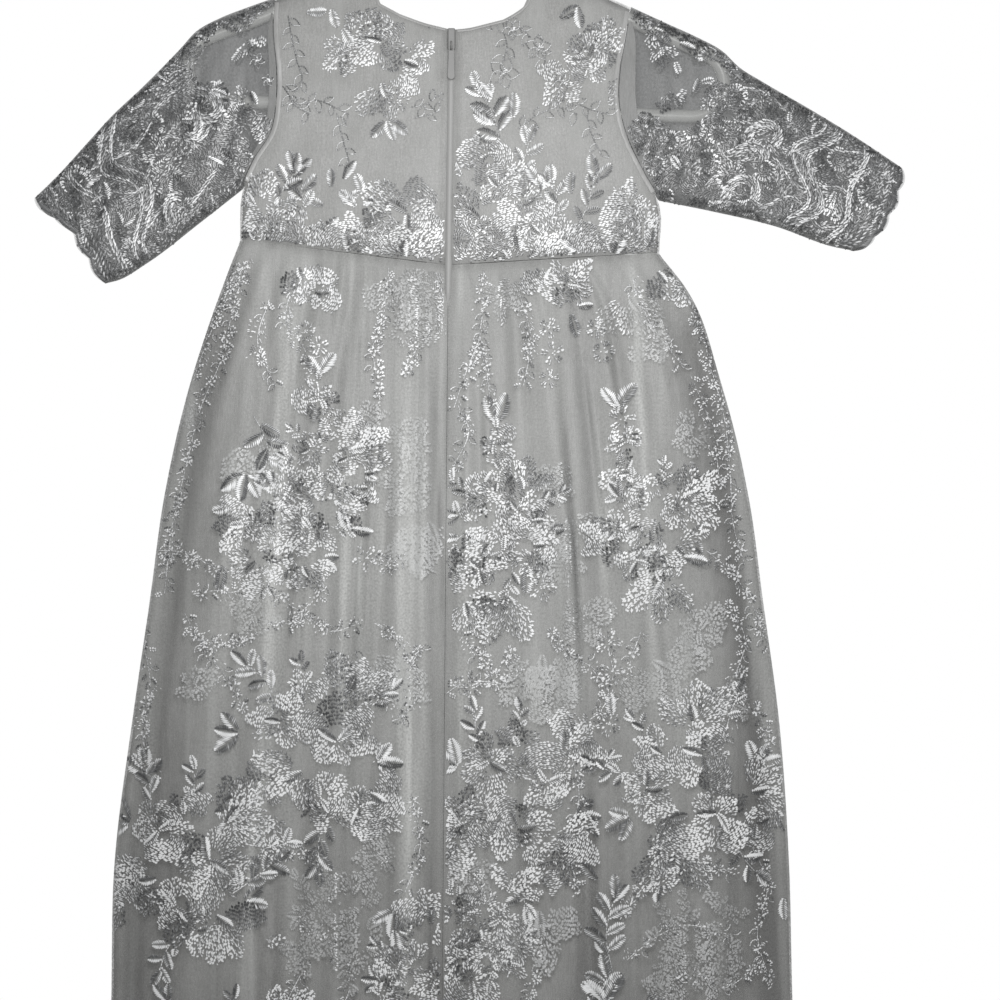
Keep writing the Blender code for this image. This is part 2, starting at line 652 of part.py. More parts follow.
def hanger(finish):
    """The hanger: a closed loop of tube, and a hook on a collar that sits astride its apex."""
    slope = HANGER_SLOPE
    floor = HANGER_CORNER - HANGER_BAR
    corner_x = (-floor - HANGER_CORNER / math.cos(slope)) / math.tan(slope)
    top = arc((0.0, -HANGER_PEAK / math.cos(slope)), HANGER_PEAK, math.pi / 2 + slope, math.pi / 2 - slope, 5)
    right = arc((corner_x, floor), HANGER_CORNER, math.pi / 2 - slope, -math.pi / 2, 9)
    left = right[::-1] * (-1.0, 1.0)
    loop = np.concatenate([top, right, left])
    tube("hanger_frame", hanger_place(loop), HANGER_TUBE, True, finish, GOWN)

    apex_x, apex_down = HANGER_APEX
    bear = np.array([
        -apex_x * math.cos(TILT) - apex_down * math.sin(TILT),
        -apex_x * math.sin(TILT) + apex_down * math.cos(TILT),
    ])
    centre = bear + (0.0, HOOK_WIRE - HOOK_ARCH)
    arch = arc(centre, HOOK_ARCH, HOOK_TIP, HOOK_TURN, 15)
    t = np.linspace(0.0, 1.0, 7)[1:, None]
    heading = np.array([math.sin(HOOK_TURN), -math.cos(HOOK_TURN)]) * HOOK_FLOW
    stem_top, stem_heading = np.array([0.0, STEM_TOP]), np.array([0.0, -HOOK_FLOW])
    bend = (
        arch[-1] * (1 + 2 * t) * (1 - t) ** 2
        + heading * t * (1 - t) ** 2
        + stem_top * t * t * (3 - 2 * t)
        - stem_heading * t * t * (1 - t)
    )
    wire = np.concatenate([arch, bend, [[0.0, COLLAR_TOP - STEM_HOLD]]])
    hook = as_mesh(tube("hanger_hook", hanger_place(wire), HOOK_WIRE, False, finish, GOWN))
    collar_middle = hanger_place([[0.0, (COLLAR_FOOT + COLLAR_TOP) / 2]])[0]
    collar = cylinder(
        "collar",
        COLLAR_RADIUS,
        COLLAR_TOP - COLLAR_FOOT,
        (collar_middle[0], 0.0, collar_middle[1]),
        (0.0, TILT, 0.0),
        CUTTERS,
        finish,
    )
    saddle = cylinder(
        "saddle",
        HANGER_TUBE + SEAM,
        6 * COLLAR_RADIUS,
        (apex_x, 0.0, -apex_down),
        (0.0, math.pi / 2 + TILT, 0.0),
        CUTTERS,
        finish,
    )
    boolean(hook, as_cutter(collar), "UNION")
    boolean(hook, as_cutter(saddle), "DIFFERENCE")


def zip_out(down, radius):
    """How far out the centre back lies there, on the layer of that radius."""
    at = np.full(1, float(down))
    return float(depth(centre_back(at), at, radius, through(BODY_FULLNESS, at))[0])


def slider(finish):
    """The zip's slider, a bevelled block with a bail over the pull tab's bar."""
    wide, thick, tall = (size * MM for size in SLIDER_SIZE)
    face = slider_face()
    middle = (float(centre_back(SLIDER_CENTRE)) * MM, face + thick / 2, -SLIDER_CENTRE * MM)
    mesh = bpy.data.meshes.new("zip_slider")
    work = bmesh.new()
    bmesh.ops.create_cube(work, size=1.0)
    bmesh.ops.scale(work, vec=(wide, thick, tall), verts=work.verts)
    work.to_mesh(mesh)
    work.free()
    block = add("zip_slider", mesh, GOWN, finish)
    block.location = middle
    soft = block.modifiers.new("edges", "BEVEL")
    soft.width = SLIDER_BEVEL * MM
    soft.segments = 2
    bail_centre = (float(centre_back(TAB_PIVOT)), face / MM, -TAB_PIVOT)
    curve = bpy.data.curves.new("bail", "CURVE")
    curve.dimensions = "3D"
    curve.bevel_depth = BAIL_WIRE * MM
    curve.bevel_resolution = 2
    curve.use_fill_caps = True
    line = curve.splines.new("POLY")
    turn = np.linspace(-BAIL_REACH, BAIL_REACH, 11)
    line.points.add(len(turn) - 1)
    for point, angle in zip(line.points, turn, strict=True):
        out, up = BAIL_RADIUS * math.cos(angle), BAIL_RADIUS * math.sin(angle)
        point.co = (bail_centre[0] * MM, (bail_centre[1] - out) * MM, (bail_centre[2] + up) * MM, 1.0)
    bail = as_mesh(add("bail", curve, CUTTERS, finish))
    boolean(block, as_cutter(bail), "UNION")


def slider_face():
    """The y of the slider's outer face, in metres."""
    return -(zip_out(SLIDER_CENTRE, LACE_ROUND) + WALL + SEAM + SLIDER_SIZE[1]) * MM


def pull_tab(finish):
    """The pull tab: a drop-shaped plate with an eye at its top, hung on the slider's bail."""
    half, end, tip = TAB_TOP_WIDTH / 2, TAB_END_WIDTH / 2, TAB_LENGTH
    turn = np.linspace(0.0, math.pi, 9)
    outline = [(half, TAB_BAR), (-half, TAB_BAR), (-half, -TAB_NECK)]
    outline += [(-end * math.cos(a), end - tip - end * math.sin(a)) for a in turn]
    outline += [(half, -TAB_NECK)]
    eye_half = TAB_EYE[0] / 2
    eye = [(eye_half, -TAB_BAR), (-eye_half, -TAB_BAR), (-eye_half, -TAB_EYE[1]), (eye_half, -TAB_EYE[1])]
    curve = bpy.data.curves.new("pull_tab", "CURVE")
    curve.dimensions = "2D"
    curve.fill_mode = "BOTH"
    curve.extrude = TAB_THICK / 2 * MM
    for points in (outline, eye):
        line = curve.splines.new("POLY")
        line.points.add(len(points) - 1)
        for point, (x, up) in zip(line.points, points, strict=True):
            point.co = (x * MM, up * MM, 0.0, 1.0)
        line.use_cyclic_u = True
    tab = add("pull_tab", curve, GOWN, finish)
    tab.location = (float(centre_back(TAB_PIVOT)) * MM, slider_face() - TAB_STAND * MM, -TAB_PIVOT * MM)
    tab.rotation_euler = (math.pi / 2, 0.0, 0.0)


def main():
    satin = material("satin", 0.45)
    tulle = material("tulle", 0.55)
    tape = material("zip_tape", 0.6)
    metal = material("zip_metal", 0.35, 0.6)
    plastic = material("hanger_plastic", 0.35)

    for part in ("left", "right"):
        bodice(f"lining_bodice_back_{part}", part, BACK_NECK, BACK_WAIST, LINING_ROUND, satin, -1)
        bodice(f"lace_bodice_back_{part}", part, BACK_NECK, BACK_WAIST, LACE_ROUND, tulle, -1)
    bodice("lining_bodice_front", "whole", FRONT_NECK, FRONT_WAIST, LINING_ROUND, satin, 1)
    bodice("lace_bodice_front", "whole", FRONT_NECK, FRONT_WAIST, LACE_ROUND, tulle, 1)

    for part, few, many in (("left", 7, 35), ("right", 7, 35), ("whole", 13, 69)):
        back = part != "whole"
        waist, facing, place = (BACK_WAIST, -1, f"back_{part}") if back else (FRONT_WAIST, 1, "front")
        valleys = BACK_VALLEYS if back else FRONT_VALLEYS
        skirt(f"lining_skirt_{place}", part, waist, LINING_HEM, LINING_ROUND, satin, facing, few)
        skirt(f"lace_skirt_{place}", part, waist, HEM, LACE_ROUND, tulle, facing, many, valleys)

    sleeve("sleeve_left", "left", tulle)
    sleeve("sleeve_right", "right", tulle)

    lift = -TAPE_ROOM - WALL
    strip("zip_tape", ZIP_TAPE / 2, lift, WALL, ZIP_TOP[1], ZIP_FOOT[1], tape)
    strip("zip_teeth", ZIP_TEETH / 2, 0.0, ZIP_TEETH_WALL, ZIP_TOP[1] + 0.5, ZIP_FOOT[1] - 0.5, tape)
    slider(metal)
    pull_tab(metal)
    hanger(plastic)


for old in list(bpy.data.objects):
    bpy.data.objects.remove(old)
GOWN = collection("christening_gown_on_hanger")
CUTTERS = collection("cutters")
main()
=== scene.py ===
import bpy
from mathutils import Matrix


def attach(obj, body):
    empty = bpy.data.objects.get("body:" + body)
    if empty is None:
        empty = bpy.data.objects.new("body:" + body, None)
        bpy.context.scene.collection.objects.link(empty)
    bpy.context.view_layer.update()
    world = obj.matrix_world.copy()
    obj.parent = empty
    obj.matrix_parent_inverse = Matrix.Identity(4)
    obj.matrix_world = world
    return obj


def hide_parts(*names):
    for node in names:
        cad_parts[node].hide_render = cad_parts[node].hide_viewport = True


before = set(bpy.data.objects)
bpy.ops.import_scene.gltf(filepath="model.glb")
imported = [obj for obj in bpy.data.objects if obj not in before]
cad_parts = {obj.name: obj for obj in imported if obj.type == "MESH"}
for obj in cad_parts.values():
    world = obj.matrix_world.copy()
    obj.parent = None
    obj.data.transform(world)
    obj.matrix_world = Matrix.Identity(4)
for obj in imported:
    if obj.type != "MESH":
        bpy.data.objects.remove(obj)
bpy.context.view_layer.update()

"""The looks of a baby's christening gown on its hanger, seen from its back.

Every cloth piece is a surface y = facing * out(x, down), where down is a height in millimetres
under the rail, so the satin, the tulle over it and the embroidery on that all follow one form.
The embroidery is made stitch by stitch: each is a small bowed ridge between two points.
"""

import math

import bpy
import numpy as np
from mathutils import Vector

MM = 0.001
SEED = 7

# The gown's own sizes in millimetres, as in its construction.
TILT = math.radians(1.9)  # how far the hanger leans
LINING_RADIUS = 4.7  # of a folded edge, at the middle of the satin's thickness
TULLE_RADIUS = 6.1
OUTER_ROUND = 6.5
SOFTNESS = 60.0  # how far in from a folded edge the cloth swells to its fullness
BODICE_FULLNESS = 4.5
CUFF_FULLNESS = 9.0
CENTRE = -5.0  # the gown's middle in x, about which the front's embroidery mirrors the back's
WAIST = 232.0  # how far down the waist is
HEM = 819.0
LINING_HEM = 808.0
SATIN = 0.4  # thickness of the lining
BODY_VEIL = 0.4  # the share of the light that one layer of the net stops
SLEEVE_VEIL = (0.42, 0.92)  # and of the sleeves' net at the back, and at the front with its backing

HANGER_APEX = (1.1, 59.4)  # where the lines of its two arms would meet
HANGER_TUBE = 3.7  # its radius
HANGER_SLOPE = math.radians(22.4)  # of its arms
HANGER_BAR = 92.0  # how far under the apex its bar is
HANGER_CORNER = 18.3  # radius of its lower corners, and of its peak
HANGER_PEAK = 14.0

# Folded edges, as rows of (x, down).
SHOULDER_LEFT = ((-51.2, 70.2), (-101.2, 89.6))
SHOULDER_RIGHT = ((45.1, 72.2), (95.7, 94.8))
SLEEVE_TOP_LEFT = (
    (-101.2, 89.6), (-116.9, 95.2), (-130.9, 100.6), (-144.9, 108.2), (-153.6, 117.6), (-174.9, 139.2),
    (-192.5, 155.7), (-204.6, 168.9), (-222.2, 188.1), (-236.0, 201.3),
)
SLEEVE_TOP_RIGHT = (
    (95.7, 94.8), (117.7, 104.9), (132.0, 111.4), (146.9, 119.6), (155.5, 128.0), (168.9, 136.4),
    (194.2, 151.0), (220.0, 166.7), (247.2, 184.8),
)
SLEEVE_UNDER_LEFT = ((-119.9, 196.4), (-143.0, 214.5), (-173.0, 237.3), (-188.7, 246.6), (-196.9, 249.0))
SLEEVE_UNDER_RIGHT = ((111.1, 202.4), (141.4, 208.5), (176.0, 216.7), (206.8, 227.7), (220.0, 230.8))
CUFF_LEFT = ((-236.0, 201.3), (-226.5, 211.0), (-216.0, 218.0), (-208.5, 230.0), (-196.9, 249.0))
CUFF_RIGHT = ((247.2, 184.8), (244.0, 199.0), (238.0, 213.0), (230.0, 224.5), (220.0, 230.8))
SLEEVES = {
    "left": (SLEEVE_TOP_LEFT, SLEEVE_UNDER_LEFT, CUFF_LEFT),
    "right": (SLEEVE_TOP_RIGHT, SLEEVE_UNDER_RIGHT, CUFF_RIGHT),
}
# The middle line of each sleeve, from the armhole to the cuff.
SLEEVE_AXIS_LEFT = ((-108.0, 143.0), (-216.0, 224.0))
SLEEVE_AXIS_RIGHT = ((98.0, 148.0), (236.0, 209.0))
SCALLOPS = 4
SCALLOP_DEPTH = 2.2
CUFF_FACES = (0.83, 0.55)  # the way that the cuff's scallops point: outwards and down
PLEAT_HEIGHT = 0.5  # of the small pleats at the armhole
PLEAT_LENGTH = 13.0

# Rows of (down, x) from the shoulder down the armhole and the side seam to the hem.
ARMPIT_LEFT = 196.4
ARMPIT_RIGHT = 202.4
BODICE_LEFT = (
    (89.0, -101.6), (111.0, -102.0), (130.0, -100.1), (148.0, -100.3), (166.0, -103.8), (181.0, -113.3),
    (196.4, -119.9), (225.0, -121.6),
)
BODICE_RIGHT = (
    (94.0, 95.7), (112.0, 92.5), (130.0, 89.4), (148.0, 88.6), (170.0, 94.1), (188.0, 102.9),
    (202.4, 111.1), (232.0, 111.9),
)
SKIRT_LEFT = (
    (225.0, -121.6), (249.0, -130.9), (313.0, -151.8), (368.0, -163.9), (424.0, -171.6),
    (484.0, -180.4), (575.0, -191.6), (643.0, -193.0), (819.0, -197.0),
)
SKIRT_RIGHT = (
    (232.0, 111.9), (249.0, 125.4), (304.0, 146.3), (368.0, 161.7), (424.0, 169.4), (492.0, 178.5),
    (570.0, 183.9), (643.0, 185.7), (819.0, 192.0),
)
# Each armhole: its rows of points, how far down its armpit is, and which way is outwards in x.
ARMHOLES = {"left": (BODICE_LEFT, ARMPIT_LEFT, -1.0), "right": (BODICE_RIGHT, ARMPIT_RIGHT, 1.0)}
BODY_FULLNESS = ((89.0, 4.5), (180.0, 4.5), (232.0, 5.5), (300.0, 12.0), (450.0, 19.0), (819.0, 28.0))
BACK_NECK = (
    (-101.2, 89.6), (-51.2, 70.2), (-44.0, 93.5), (-31.9, 100.1), (-18.2, 105.1), (-3.6, 108.8),
    (6.6, 107.8), (25.9, 102.8), (34.1, 97.9), (38.5, 93.5), (45.1, 72.2), (95.7, 94.8),
)
FRONT_NECK = (
    (-101.2, 89.6), (-51.2, 70.2), (-45.0, 98.0), (-33.0, 115.0), (-18.0, 124.0), (-3.0, 126.5),
    (12.0, 124.5), (27.0, 116.0), (39.0, 99.0), (45.1, 72.2), (95.7, 94.8),
)
BACK_WAIST = ((-121.6, 224.5), (-5.3, 239.0), (111.9, 231.6))
FRONT_WAIST = ((-121.6, 224.5), (-5.0, 231.0), (111.9, 231.6))
# Heights at which a panel's columns are read to find where its neck, waist and skirt's top are.
NECK_LEVEL = 95.0
WAIST_LEVEL = 230.0
SKIRT_LEVEL = 236.0
SHOULDER_LEVEL = 80.0
NECK_MIDDLE = -3.0
NECK_HALF = 47.0  # a column farther than this from the neck's middle ends on the shoulder
SEAM_DIP = 1.1  # how deep the waist seam lies in the cloth
SEAM_SPREAD = 1.8

# The skirt's gathers, long folds and slow waves.
GATHERS = 17
GATHER_HEIGHT = 2.0
GATHER_RUN = 95.0
FOLD_HEIGHT = 5.5
FOLD_START = 70.0
SWAY_HEIGHT = 2.5
SWAY_LENGTH = 92.0
SWAY_DRIFT = 160.0
SWAY_GROWS = (250.0, 700.0)
CENTRE_VALLEY = 9.0
# The valleys between the folds: x at the waist, half way and at the hem, strength and half width.
BACK_VALLEYS = (
    (-97.0, -131.0, -152.0, 0.6, 12.0),
    (-82.0, -108.0, -124.0, 0.4, 4.5),
    (-64.0, -88.0, -102.0, 0.8, 10.0),
    (-50.0, -62.0, -70.0, 0.5, 4.0),
    (-37.0, -46.0, -55.0, 0.6, 11.0),
    (-22.0, -24.0, -27.0, 0.35, 4.0),
    (12.0, 14.0, 18.0, 0.4, 4.5),
    (23.0, 30.0, 33.0, 0.5, 11.0),
    (47.0, 69.0, 76.0, 1.0, 8.0),
    (61.0, 92.0, 101.0, 0.45, 4.5),
    (72.0, 119.0, 126.0, 0.8, 9.0),
    (94.0, 149.0, 163.0, 0.5, 11.0),
)
FRONT_VALLEYS = (
    (-99.0, -142.0, -160.0, 0.6, 12.0),
    (-72.0, -101.0, -112.0, 0.9, 9.0),
    (-43.0, -58.0, -66.0, 0.7, 10.0),
    (-17.0, -21.0, -24.0, 0.9, 9.0),
    (11.0, 17.0, 21.0, 0.6, 12.0),
    (36.0, 58.0, 66.0, 1.0, 8.0),
    (66.0, 98.0, 111.0, 0.7, 10.0),
    (90.0, 141.0, 157.0, 0.6, 11.0),
)
# Where the skirt's net lies double and looks pale, and painted shade where it turns away in a fold
# and at the skirt's sides: x at the waist, half way and at the hem, the shares of the height where
# it starts and ends, width and paleness, a negative paleness being painted shade.
NET_STRIPES = (
    (-132.0, -163.0, -182.0, 0.05, 0.98, 14.0, -1.15),
    (-94.0, -108.0, -122.0, 0.0, 0.75, 7.0, 0.9),
    (-59.0, -65.0, -72.0, 0.0, 0.45, 2.5, 0.9),
    (-51.0, -55.0, -60.0, 0.02, 0.4, 2.0, 0.8),
    (-33.0, -30.0, -30.0, 0.08, 0.85, 9.0, 0.9),
    (-20.0, -20.0, -22.0, 0.12, 0.5, 3.0, 0.4),
    (-14.0, -14.0, -15.0, 0.12, 0.95, 6.0, -0.8),
    (-13.0, -7.0, -2.0, 0.21, 0.33, 1.6, -1.8),
    (-9.0, -9.0, -10.0, 0.0, 0.2, 2.0, 0.6),
    (2.0, 3.0, 4.0, 0.0, 0.95, 2.5, 0.7),
    (52.0, 72.0, 84.0, 0.17, 0.36, 1.5, -1.6),
    (70.0, 78.0, 84.0, 0.02, 0.5, 8.0, -0.8),
    (84.0, 94.0, 101.0, 0.0, 0.35, 3.0, -0.6),
    (96.0, 112.0, 124.0, 0.0, 0.5, 4.0, 0.8),
    (132.0, 164.0, 182.0, 0.06, 0.95, 18.0, -1.7),
    (66.0, 72.0, 77.0, 0.5, 0.98, 12.0, -0.9),
    (-112.0, -108.0, -106.0, 0.6, 0.98, 8.0, -0.8),
)
FINE_STRIPES = 30
# Painted light and shade on the whole net, by the share of the skirt's height: paler high up, darker towards
# the hem.
NET_PAINTED_FALLOFF = ((0.0, 0.3), (0.1, 0.1), (0.25, 0.4), (0.4, 0.35), (0.6, -0.45), (0.75, -0.6), (1.0, -0.4))

ZIP_TOP = (-3.6, 109.2)  # x and down
ZIP_FOOT = (-5.5, 254.0)
ZIP_DIVE = 2.2  # how far its foot goes in behind the satin
ZIP_HALF = 1.7  # half the parting between the centre back edges
ZIP_TAPE_HALF = 12.0
ZIP_ROW_HALF = 1.85

# How the net and the satin crumple: amplitude, length across and length down, in millimetres.
SKIRT_RIPPLE = (0.6, 17.0, 330.0)
RIPPLE_SPAN = 340.0  # the width that the skirt's ripples are spread over at every height
BODICE_RIPPLE = (0.45, 34.0, 48.0)
SLEEVE_RIPPLE = (0.6, 15.0, 60.0)
FOLD_STEEP = 0.45  # a valley's near side is this share of its half width, and its far side the rest
VEIL_STEEPNESS = 2.2  # how much denser the net looks where it turns away in a fold
VEIL_REACH = 0.6  # how far to each side the net's slope is taken
DOUBLE_LAYERS = 0.7  # how many layers more the net has where its paleness is 1
MOST_LAYERS = 2.4


# ---------------------------------------------------------------------------- the gown's form


def through(rows, at):
    """The smooth curve through rows of (place, value), a cubic between each two, at those places."""
    x, y = np.array(rows, float).T[:2]
    slope = np.gradient(y, x)
    i = np.clip(np.searchsorted(x, at) - 1, 0, len(x) - 2)
    step = x[i + 1] - x[i]
    t = np.clip((at - x[i]) / step, 0.0, 1.0)
    start = y[i] * (1 + 2 * t) * (1 - t) ** 2 + step * slope[i] * t * (1 - t) ** 2
    return start + y[i + 1] * t * t * (3 - 2 * t) - step * slope[i + 1] * t * t * (1 - t)


def along(points, share):
    """The places at those shares of the length of the smooth line through the points."""
    p = np.array(points, float)
    run = np.append(0.0, np.cumsum(np.hypot(*np.diff(p, axis=0).T)))
    fine = np.linspace(0.0, run[-1], 161)
    x = through(np.column_stack([run, p[:, 0]]), fine)
    down = through(np.column_stack([run, p[:, 1]]), fine)
    length = np.append(0.0, np.cumsum(np.hypot(np.diff(x), np.diff(down))))
    at = np.asarray(share) * length[-1]
    return np.stack([np.interp(at, length, x), np.interp(at, length, down)], axis=-1)


def smoothstep(low, high, value):
    """0 below low and 1 above high, with a soft turn between them."""
    t = np.clip((value - low) / (high - low), 0.0, 1.0)
    return t * t * (3 - 2 * t)


def ripple(x, down, across, lengthwise, seed):
    """Uneven soft waves between about -1 and 1: seven sines of like lengths, each turned a little."""
    dice = np.random.default_rng(seed)
    total = np.zeros_like(x)
    for _ in range(7):
        fx = dice.choice((-1, 1)) * dice.uniform(0.5, 1.6) / across
        fd = dice.uniform(0.4, 1.6) / lengthwise
        total = total + np.sin(2 * np.pi * (fx * x + fd * down) + dice.uniform(0, 2 * np.pi))
    return total / 3.2


def waist_at(x, facing):
    """The height of the waist seam at each x, straight between its points."""
    return np.interp(x, *np.array(BACK_WAIST if facing < 0 else FRONT_WAIST).T)


def folded_edges():
    """Both ends of every short stretch of the gown's folded edges, as two arrays of (x, down)."""
    share = np.linspace(0.0, 1.0, 25)
    lines = [along(rows, share) for rows in (SLEEVE_TOP_LEFT, SLEEVE_TOP_RIGHT)]
    lines += [along(rows, share) for rows in (SLEEVE_UNDER_LEFT, SLEEVE_UNDER_RIGHT)]
    lines += [np.array(SHOULDER_LEFT), np.array(SHOULDER_RIGHT)]
    for bodice, skirt, armpit in (
        (BODICE_LEFT, SKIRT_LEFT, ARMPIT_LEFT),
        (BODICE_RIGHT, SKIRT_RIGHT, ARMPIT_RIGHT),
    ):
        upper = np.linspace(armpit, bodice[-1][0], 5)
        lower = np.linspace(skirt[0][0], HEM + 20, 40)
        lines.append(np.column_stack([through(bodice, upper), upper]))
        lines.append(np.column_stack([through(skirt, lower), lower]))
    return np.concatenate([p[:-1] for p in lines]), np.concatenate([p[1:] for p in lines])


EDGE_STARTS, EDGE_ENDS = folded_edges()


def from_edge(x, down):
    """How far each point is from the nearest folded edge, found for 20,000 points at a time."""
    run = EDGE_ENDS - EDGE_STARTS
    size = (run * run).sum(-1)
    flat = np.stack([np.ravel(x), np.ravel(down)], axis=-1)
    found = np.empty(len(flat))
    for first in range(0, len(flat), 20000):
        point = flat[first : first + 20000, None, :]
        share = np.clip(((point - EDGE_STARTS) * run).sum(-1) / size, 0.0, 1.0)
        gap = point - EDGE_STARTS - share[..., None] * run
        found[first : first + 20000] = np.sqrt((gap * gap).sum(-1).min(-1))
    return found.reshape(np.shape(x))


def depth(inside, radius, fullness):
    """Half the hollow's thickness: a quarter round at a folded edge, then a swell to the middle."""
    rounding = np.sqrt(np.maximum(radius**2 - np.minimum(inside, 0.0) ** 2, 0.0))
    return rounding + fullness * (1 - np.exp(-np.maximum(inside, 0.0) / SOFTNESS))


def centre_back(down):
    """The x of the centre back line, which the zip follows."""
    return np.interp(down, (ZIP_TOP[1], ZIP_FOOT[1], HEM), (ZIP_TOP[0], ZIP_FOOT[0], ZIP_FOOT[0] - 4.0))


def skirt_folds(x, down, facing):
    """Long folds with narrow valleys between them, and close gathers that die out down the skirt.

    The folds stand at one height less a bell curve at each valley, and the gathers are raised
    cosines of uneven height and width.
    """
    valleys = BACK_VALLEYS if facing < 0 else FRONT_VALLEYS
    below = down - waist_at(x, facing)
    share = below / (HEM - WAIST)
    valley = np.zeros_like(x)
    if facing < 0:
        valley += np.exp(-(((x - centre_back(down)) / CENTRE_VALLEY) ** 4))
    for top, middle, hem, strength, half_width in valleys:
        at = through(((0.0, top), (0.5, middle), (1.0, hem)), share)
        beside = np.where((x - at) * top > 0, FOLD_STEEP, 2 - FOLD_STEEP) * half_width
        valley += strength * np.exp(-(((x - at) / beside) ** 2))
    long_folds = FOLD_HEIGHT * smoothstep(0.0, FOLD_START, below) * np.clip(1 - valley, 0.0, 1.0)
    left, right = through(SKIRT_LEFT, down), through(SKIRT_RIGHT, down)
    turn = 2 * np.pi * GATHERS * (x - left) / (right - left)
    turn = turn + 0.9 * np.sin(turn / 3.7 + facing)
    uneven = 0.75 + 0.35 * np.sin(turn / 5.3 + 1.0)
    height = GATHER_HEIGHT * (0.45 + 0.55 * smoothstep(0.0, 14.0, below))
    gathers = height * uneven * np.exp(-((below / GATHER_RUN) ** 2)) * 0.5 * (1 - np.cos(turn))
    return long_folds + gathers


def body_out(x, down, radius, facing, layer):
    """How far out the bodice or skirt lies there; layer is satin or tulle.

    It is the hollow's depth, plus slow waves and ripples that fade out at the folded edges, plus
    the tulle's own folds, less a narrow dip along the waist seam.
    """
    inside = from_edge(x, down) - OUTER_ROUND
    out = depth(inside, radius, through(BODY_FULLNESS, down))
    below = down - waist_at(x, facing)
    skirt = smoothstep(0.0, 12.0, below)
    calm = smoothstep(0.0, 40.0, inside)
    wave = 1 + np.sin(2 * np.pi * x / SWAY_LENGTH + down / SWAY_DRIFT)
    out = out + SWAY_HEIGHT * smoothstep(*SWAY_GROWS, down) * wave * calm
    seed = SEED + (1 if facing < 0 else 2) + (10 if layer == "tulle" else 20)
    size, across, lengthwise = SKIRT_RIPPLE
    left, right = through(SKIRT_LEFT, down), through(SKIRT_RIGHT, down)
    fanned = RIPPLE_SPAN * (x - left) / (right - left)
    out = out + skirt * calm * size * ripple(fanned, down, across, lengthwise, seed)
    size, across, lengthwise = BODICE_RIPPLE
    share = 1.0 if layer == "tulle" else 0.5
    height = (1 - skirt) * smoothstep(0.0, 12.0, inside) * share * size
    out = out + height * ripple(x, down, across, lengthwise, seed + 1)
    if layer == "tulle":
        out = out + skirt_folds(x, down, facing) * smoothstep(0.0, 16.0, inside) * (below > 0)
        out = out + 0.5 * skirt
    return out - SEAM_DIP * np.exp(-np.abs(below) / SEAM_SPREAD) * smoothstep(0.0, 6.0, inside)


def paleness(x, down, facing):
    """How pale the skirt's net looks, where it lies double and with painted light and shade: by its height,
    plus bell curves across stripes, crisp on one side.
    """
    share = (down - waist_at(x, facing)) / (HEM - WAIST)
    left, right = through(SKIRT_LEFT, down), through(SKIRT_RIGHT, down)
    dice = np.random.default_rng(SEED + 5 + facing)
    lines = []
    for top, middle, hem, *rest in NET_STRIPES:
        at = through(((0.0, top), (0.5, middle), (1.0, hem)), share)
        lines.append((at if facing < 0 else 2 * CENTRE - at, *rest))
    for _ in range(FINE_STRIPES):
        across = dice.uniform(0.03, 0.97) + dice.normal(0.0, 0.02) * share
        start = dice.uniform(0.03, 0.6)
        strength = dice.choice((-1.0, 1.0)) * dice.uniform(0.1, 0.35)
        end = start + dice.uniform(0.15, 0.6)
        lines.append((left + across * (right - left), start, end, dice.uniform(2.0, 8.0), strength))
    pale = np.interp(share, *np.array(NET_PAINTED_FALLOFF).T)
    for at, start, end, width, strength in lines:
        gap = (x - at) * np.sign(at - CENTRE)
        profile = np.exp(-((gap / np.where(gap > 0, 0.3 * width, width)) ** 2))
        begun = smoothstep(start - 0.03, start + 0.03, share)
        shown = begun * (1 - smoothstep(end - 0.12, end + 0.05, share))
        pale = pale + strength * profile * shown
    return np.clip(pale, -1.8, 1.4)


def veil(x, down, facing, base, skirt):
    """How much of the light the net stops: more where it lies double or turns away in a fold."""
    steep, double = np.zeros_like(x), np.zeros_like(x)
    if skirt:
        sides = x - VEIL_REACH, x + VEIL_REACH
        low, high = (body_out(side, down, TULLE_RADIUS, facing, "tulle") for side in sides)
        steep = (high - low) / (2 * VEIL_REACH)
        double = DOUBLE_LAYERS * np.maximum(paleness(x, down, facing), 0.0)
    layers = np.sqrt(1 + (VEIL_STEEPNESS * steep) ** 2) + double
    return 1 - (1 - base) ** np.minimum(layers, MOST_LAYERS)


def sleeve_share(x, down):
    """How far along its sleeve each point is: 0 at the armhole and 1 at the cuff."""
    found = []
    for (x0, down0), (x1, down1) in (SLEEVE_AXIS_LEFT, SLEEVE_AXIS_RIGHT):
        run = x1 - x0, down1 - down0
        found.append(((x - x0) * run[0] + (down - down0) * run[1]) / (run[0] ** 2 + run[1] ** 2))
    return np.clip(np.where(x < 0, *found), 0.0, 1.0)


def sleeve_out(x, down, facing):
    """How far out the sleeve lies: the same rounding, more fullness to the cuff, and soft creases."""
    inside = from_edge(x, down) - OUTER_ROUND
    share = sleeve_share(x, down)
    fullness = BODICE_FULLNESS + (CUFF_FULLNESS - BODICE_FULLNESS) * share**2
    out = depth(inside, TULLE_RADIUS, fullness)
    size, across, lengthwise = SLEEVE_RIPPLE
    calm = smoothstep(0.0, 10.0, inside) * smoothstep(0.0, 0.06, share)
    wave = np.sin(2 * np.pi * (x + 0.35 * down) / PLEAT_LENGTH)
    pleats = PLEAT_HEIGHT * np.exp(-((share / 0.3) ** 2)) * wave
    return out + calm * (size * ripple(x, down, across, lengthwise, SEED + 31 + facing) + pleats)


# ------------------------------------------------------------------------------ making meshes


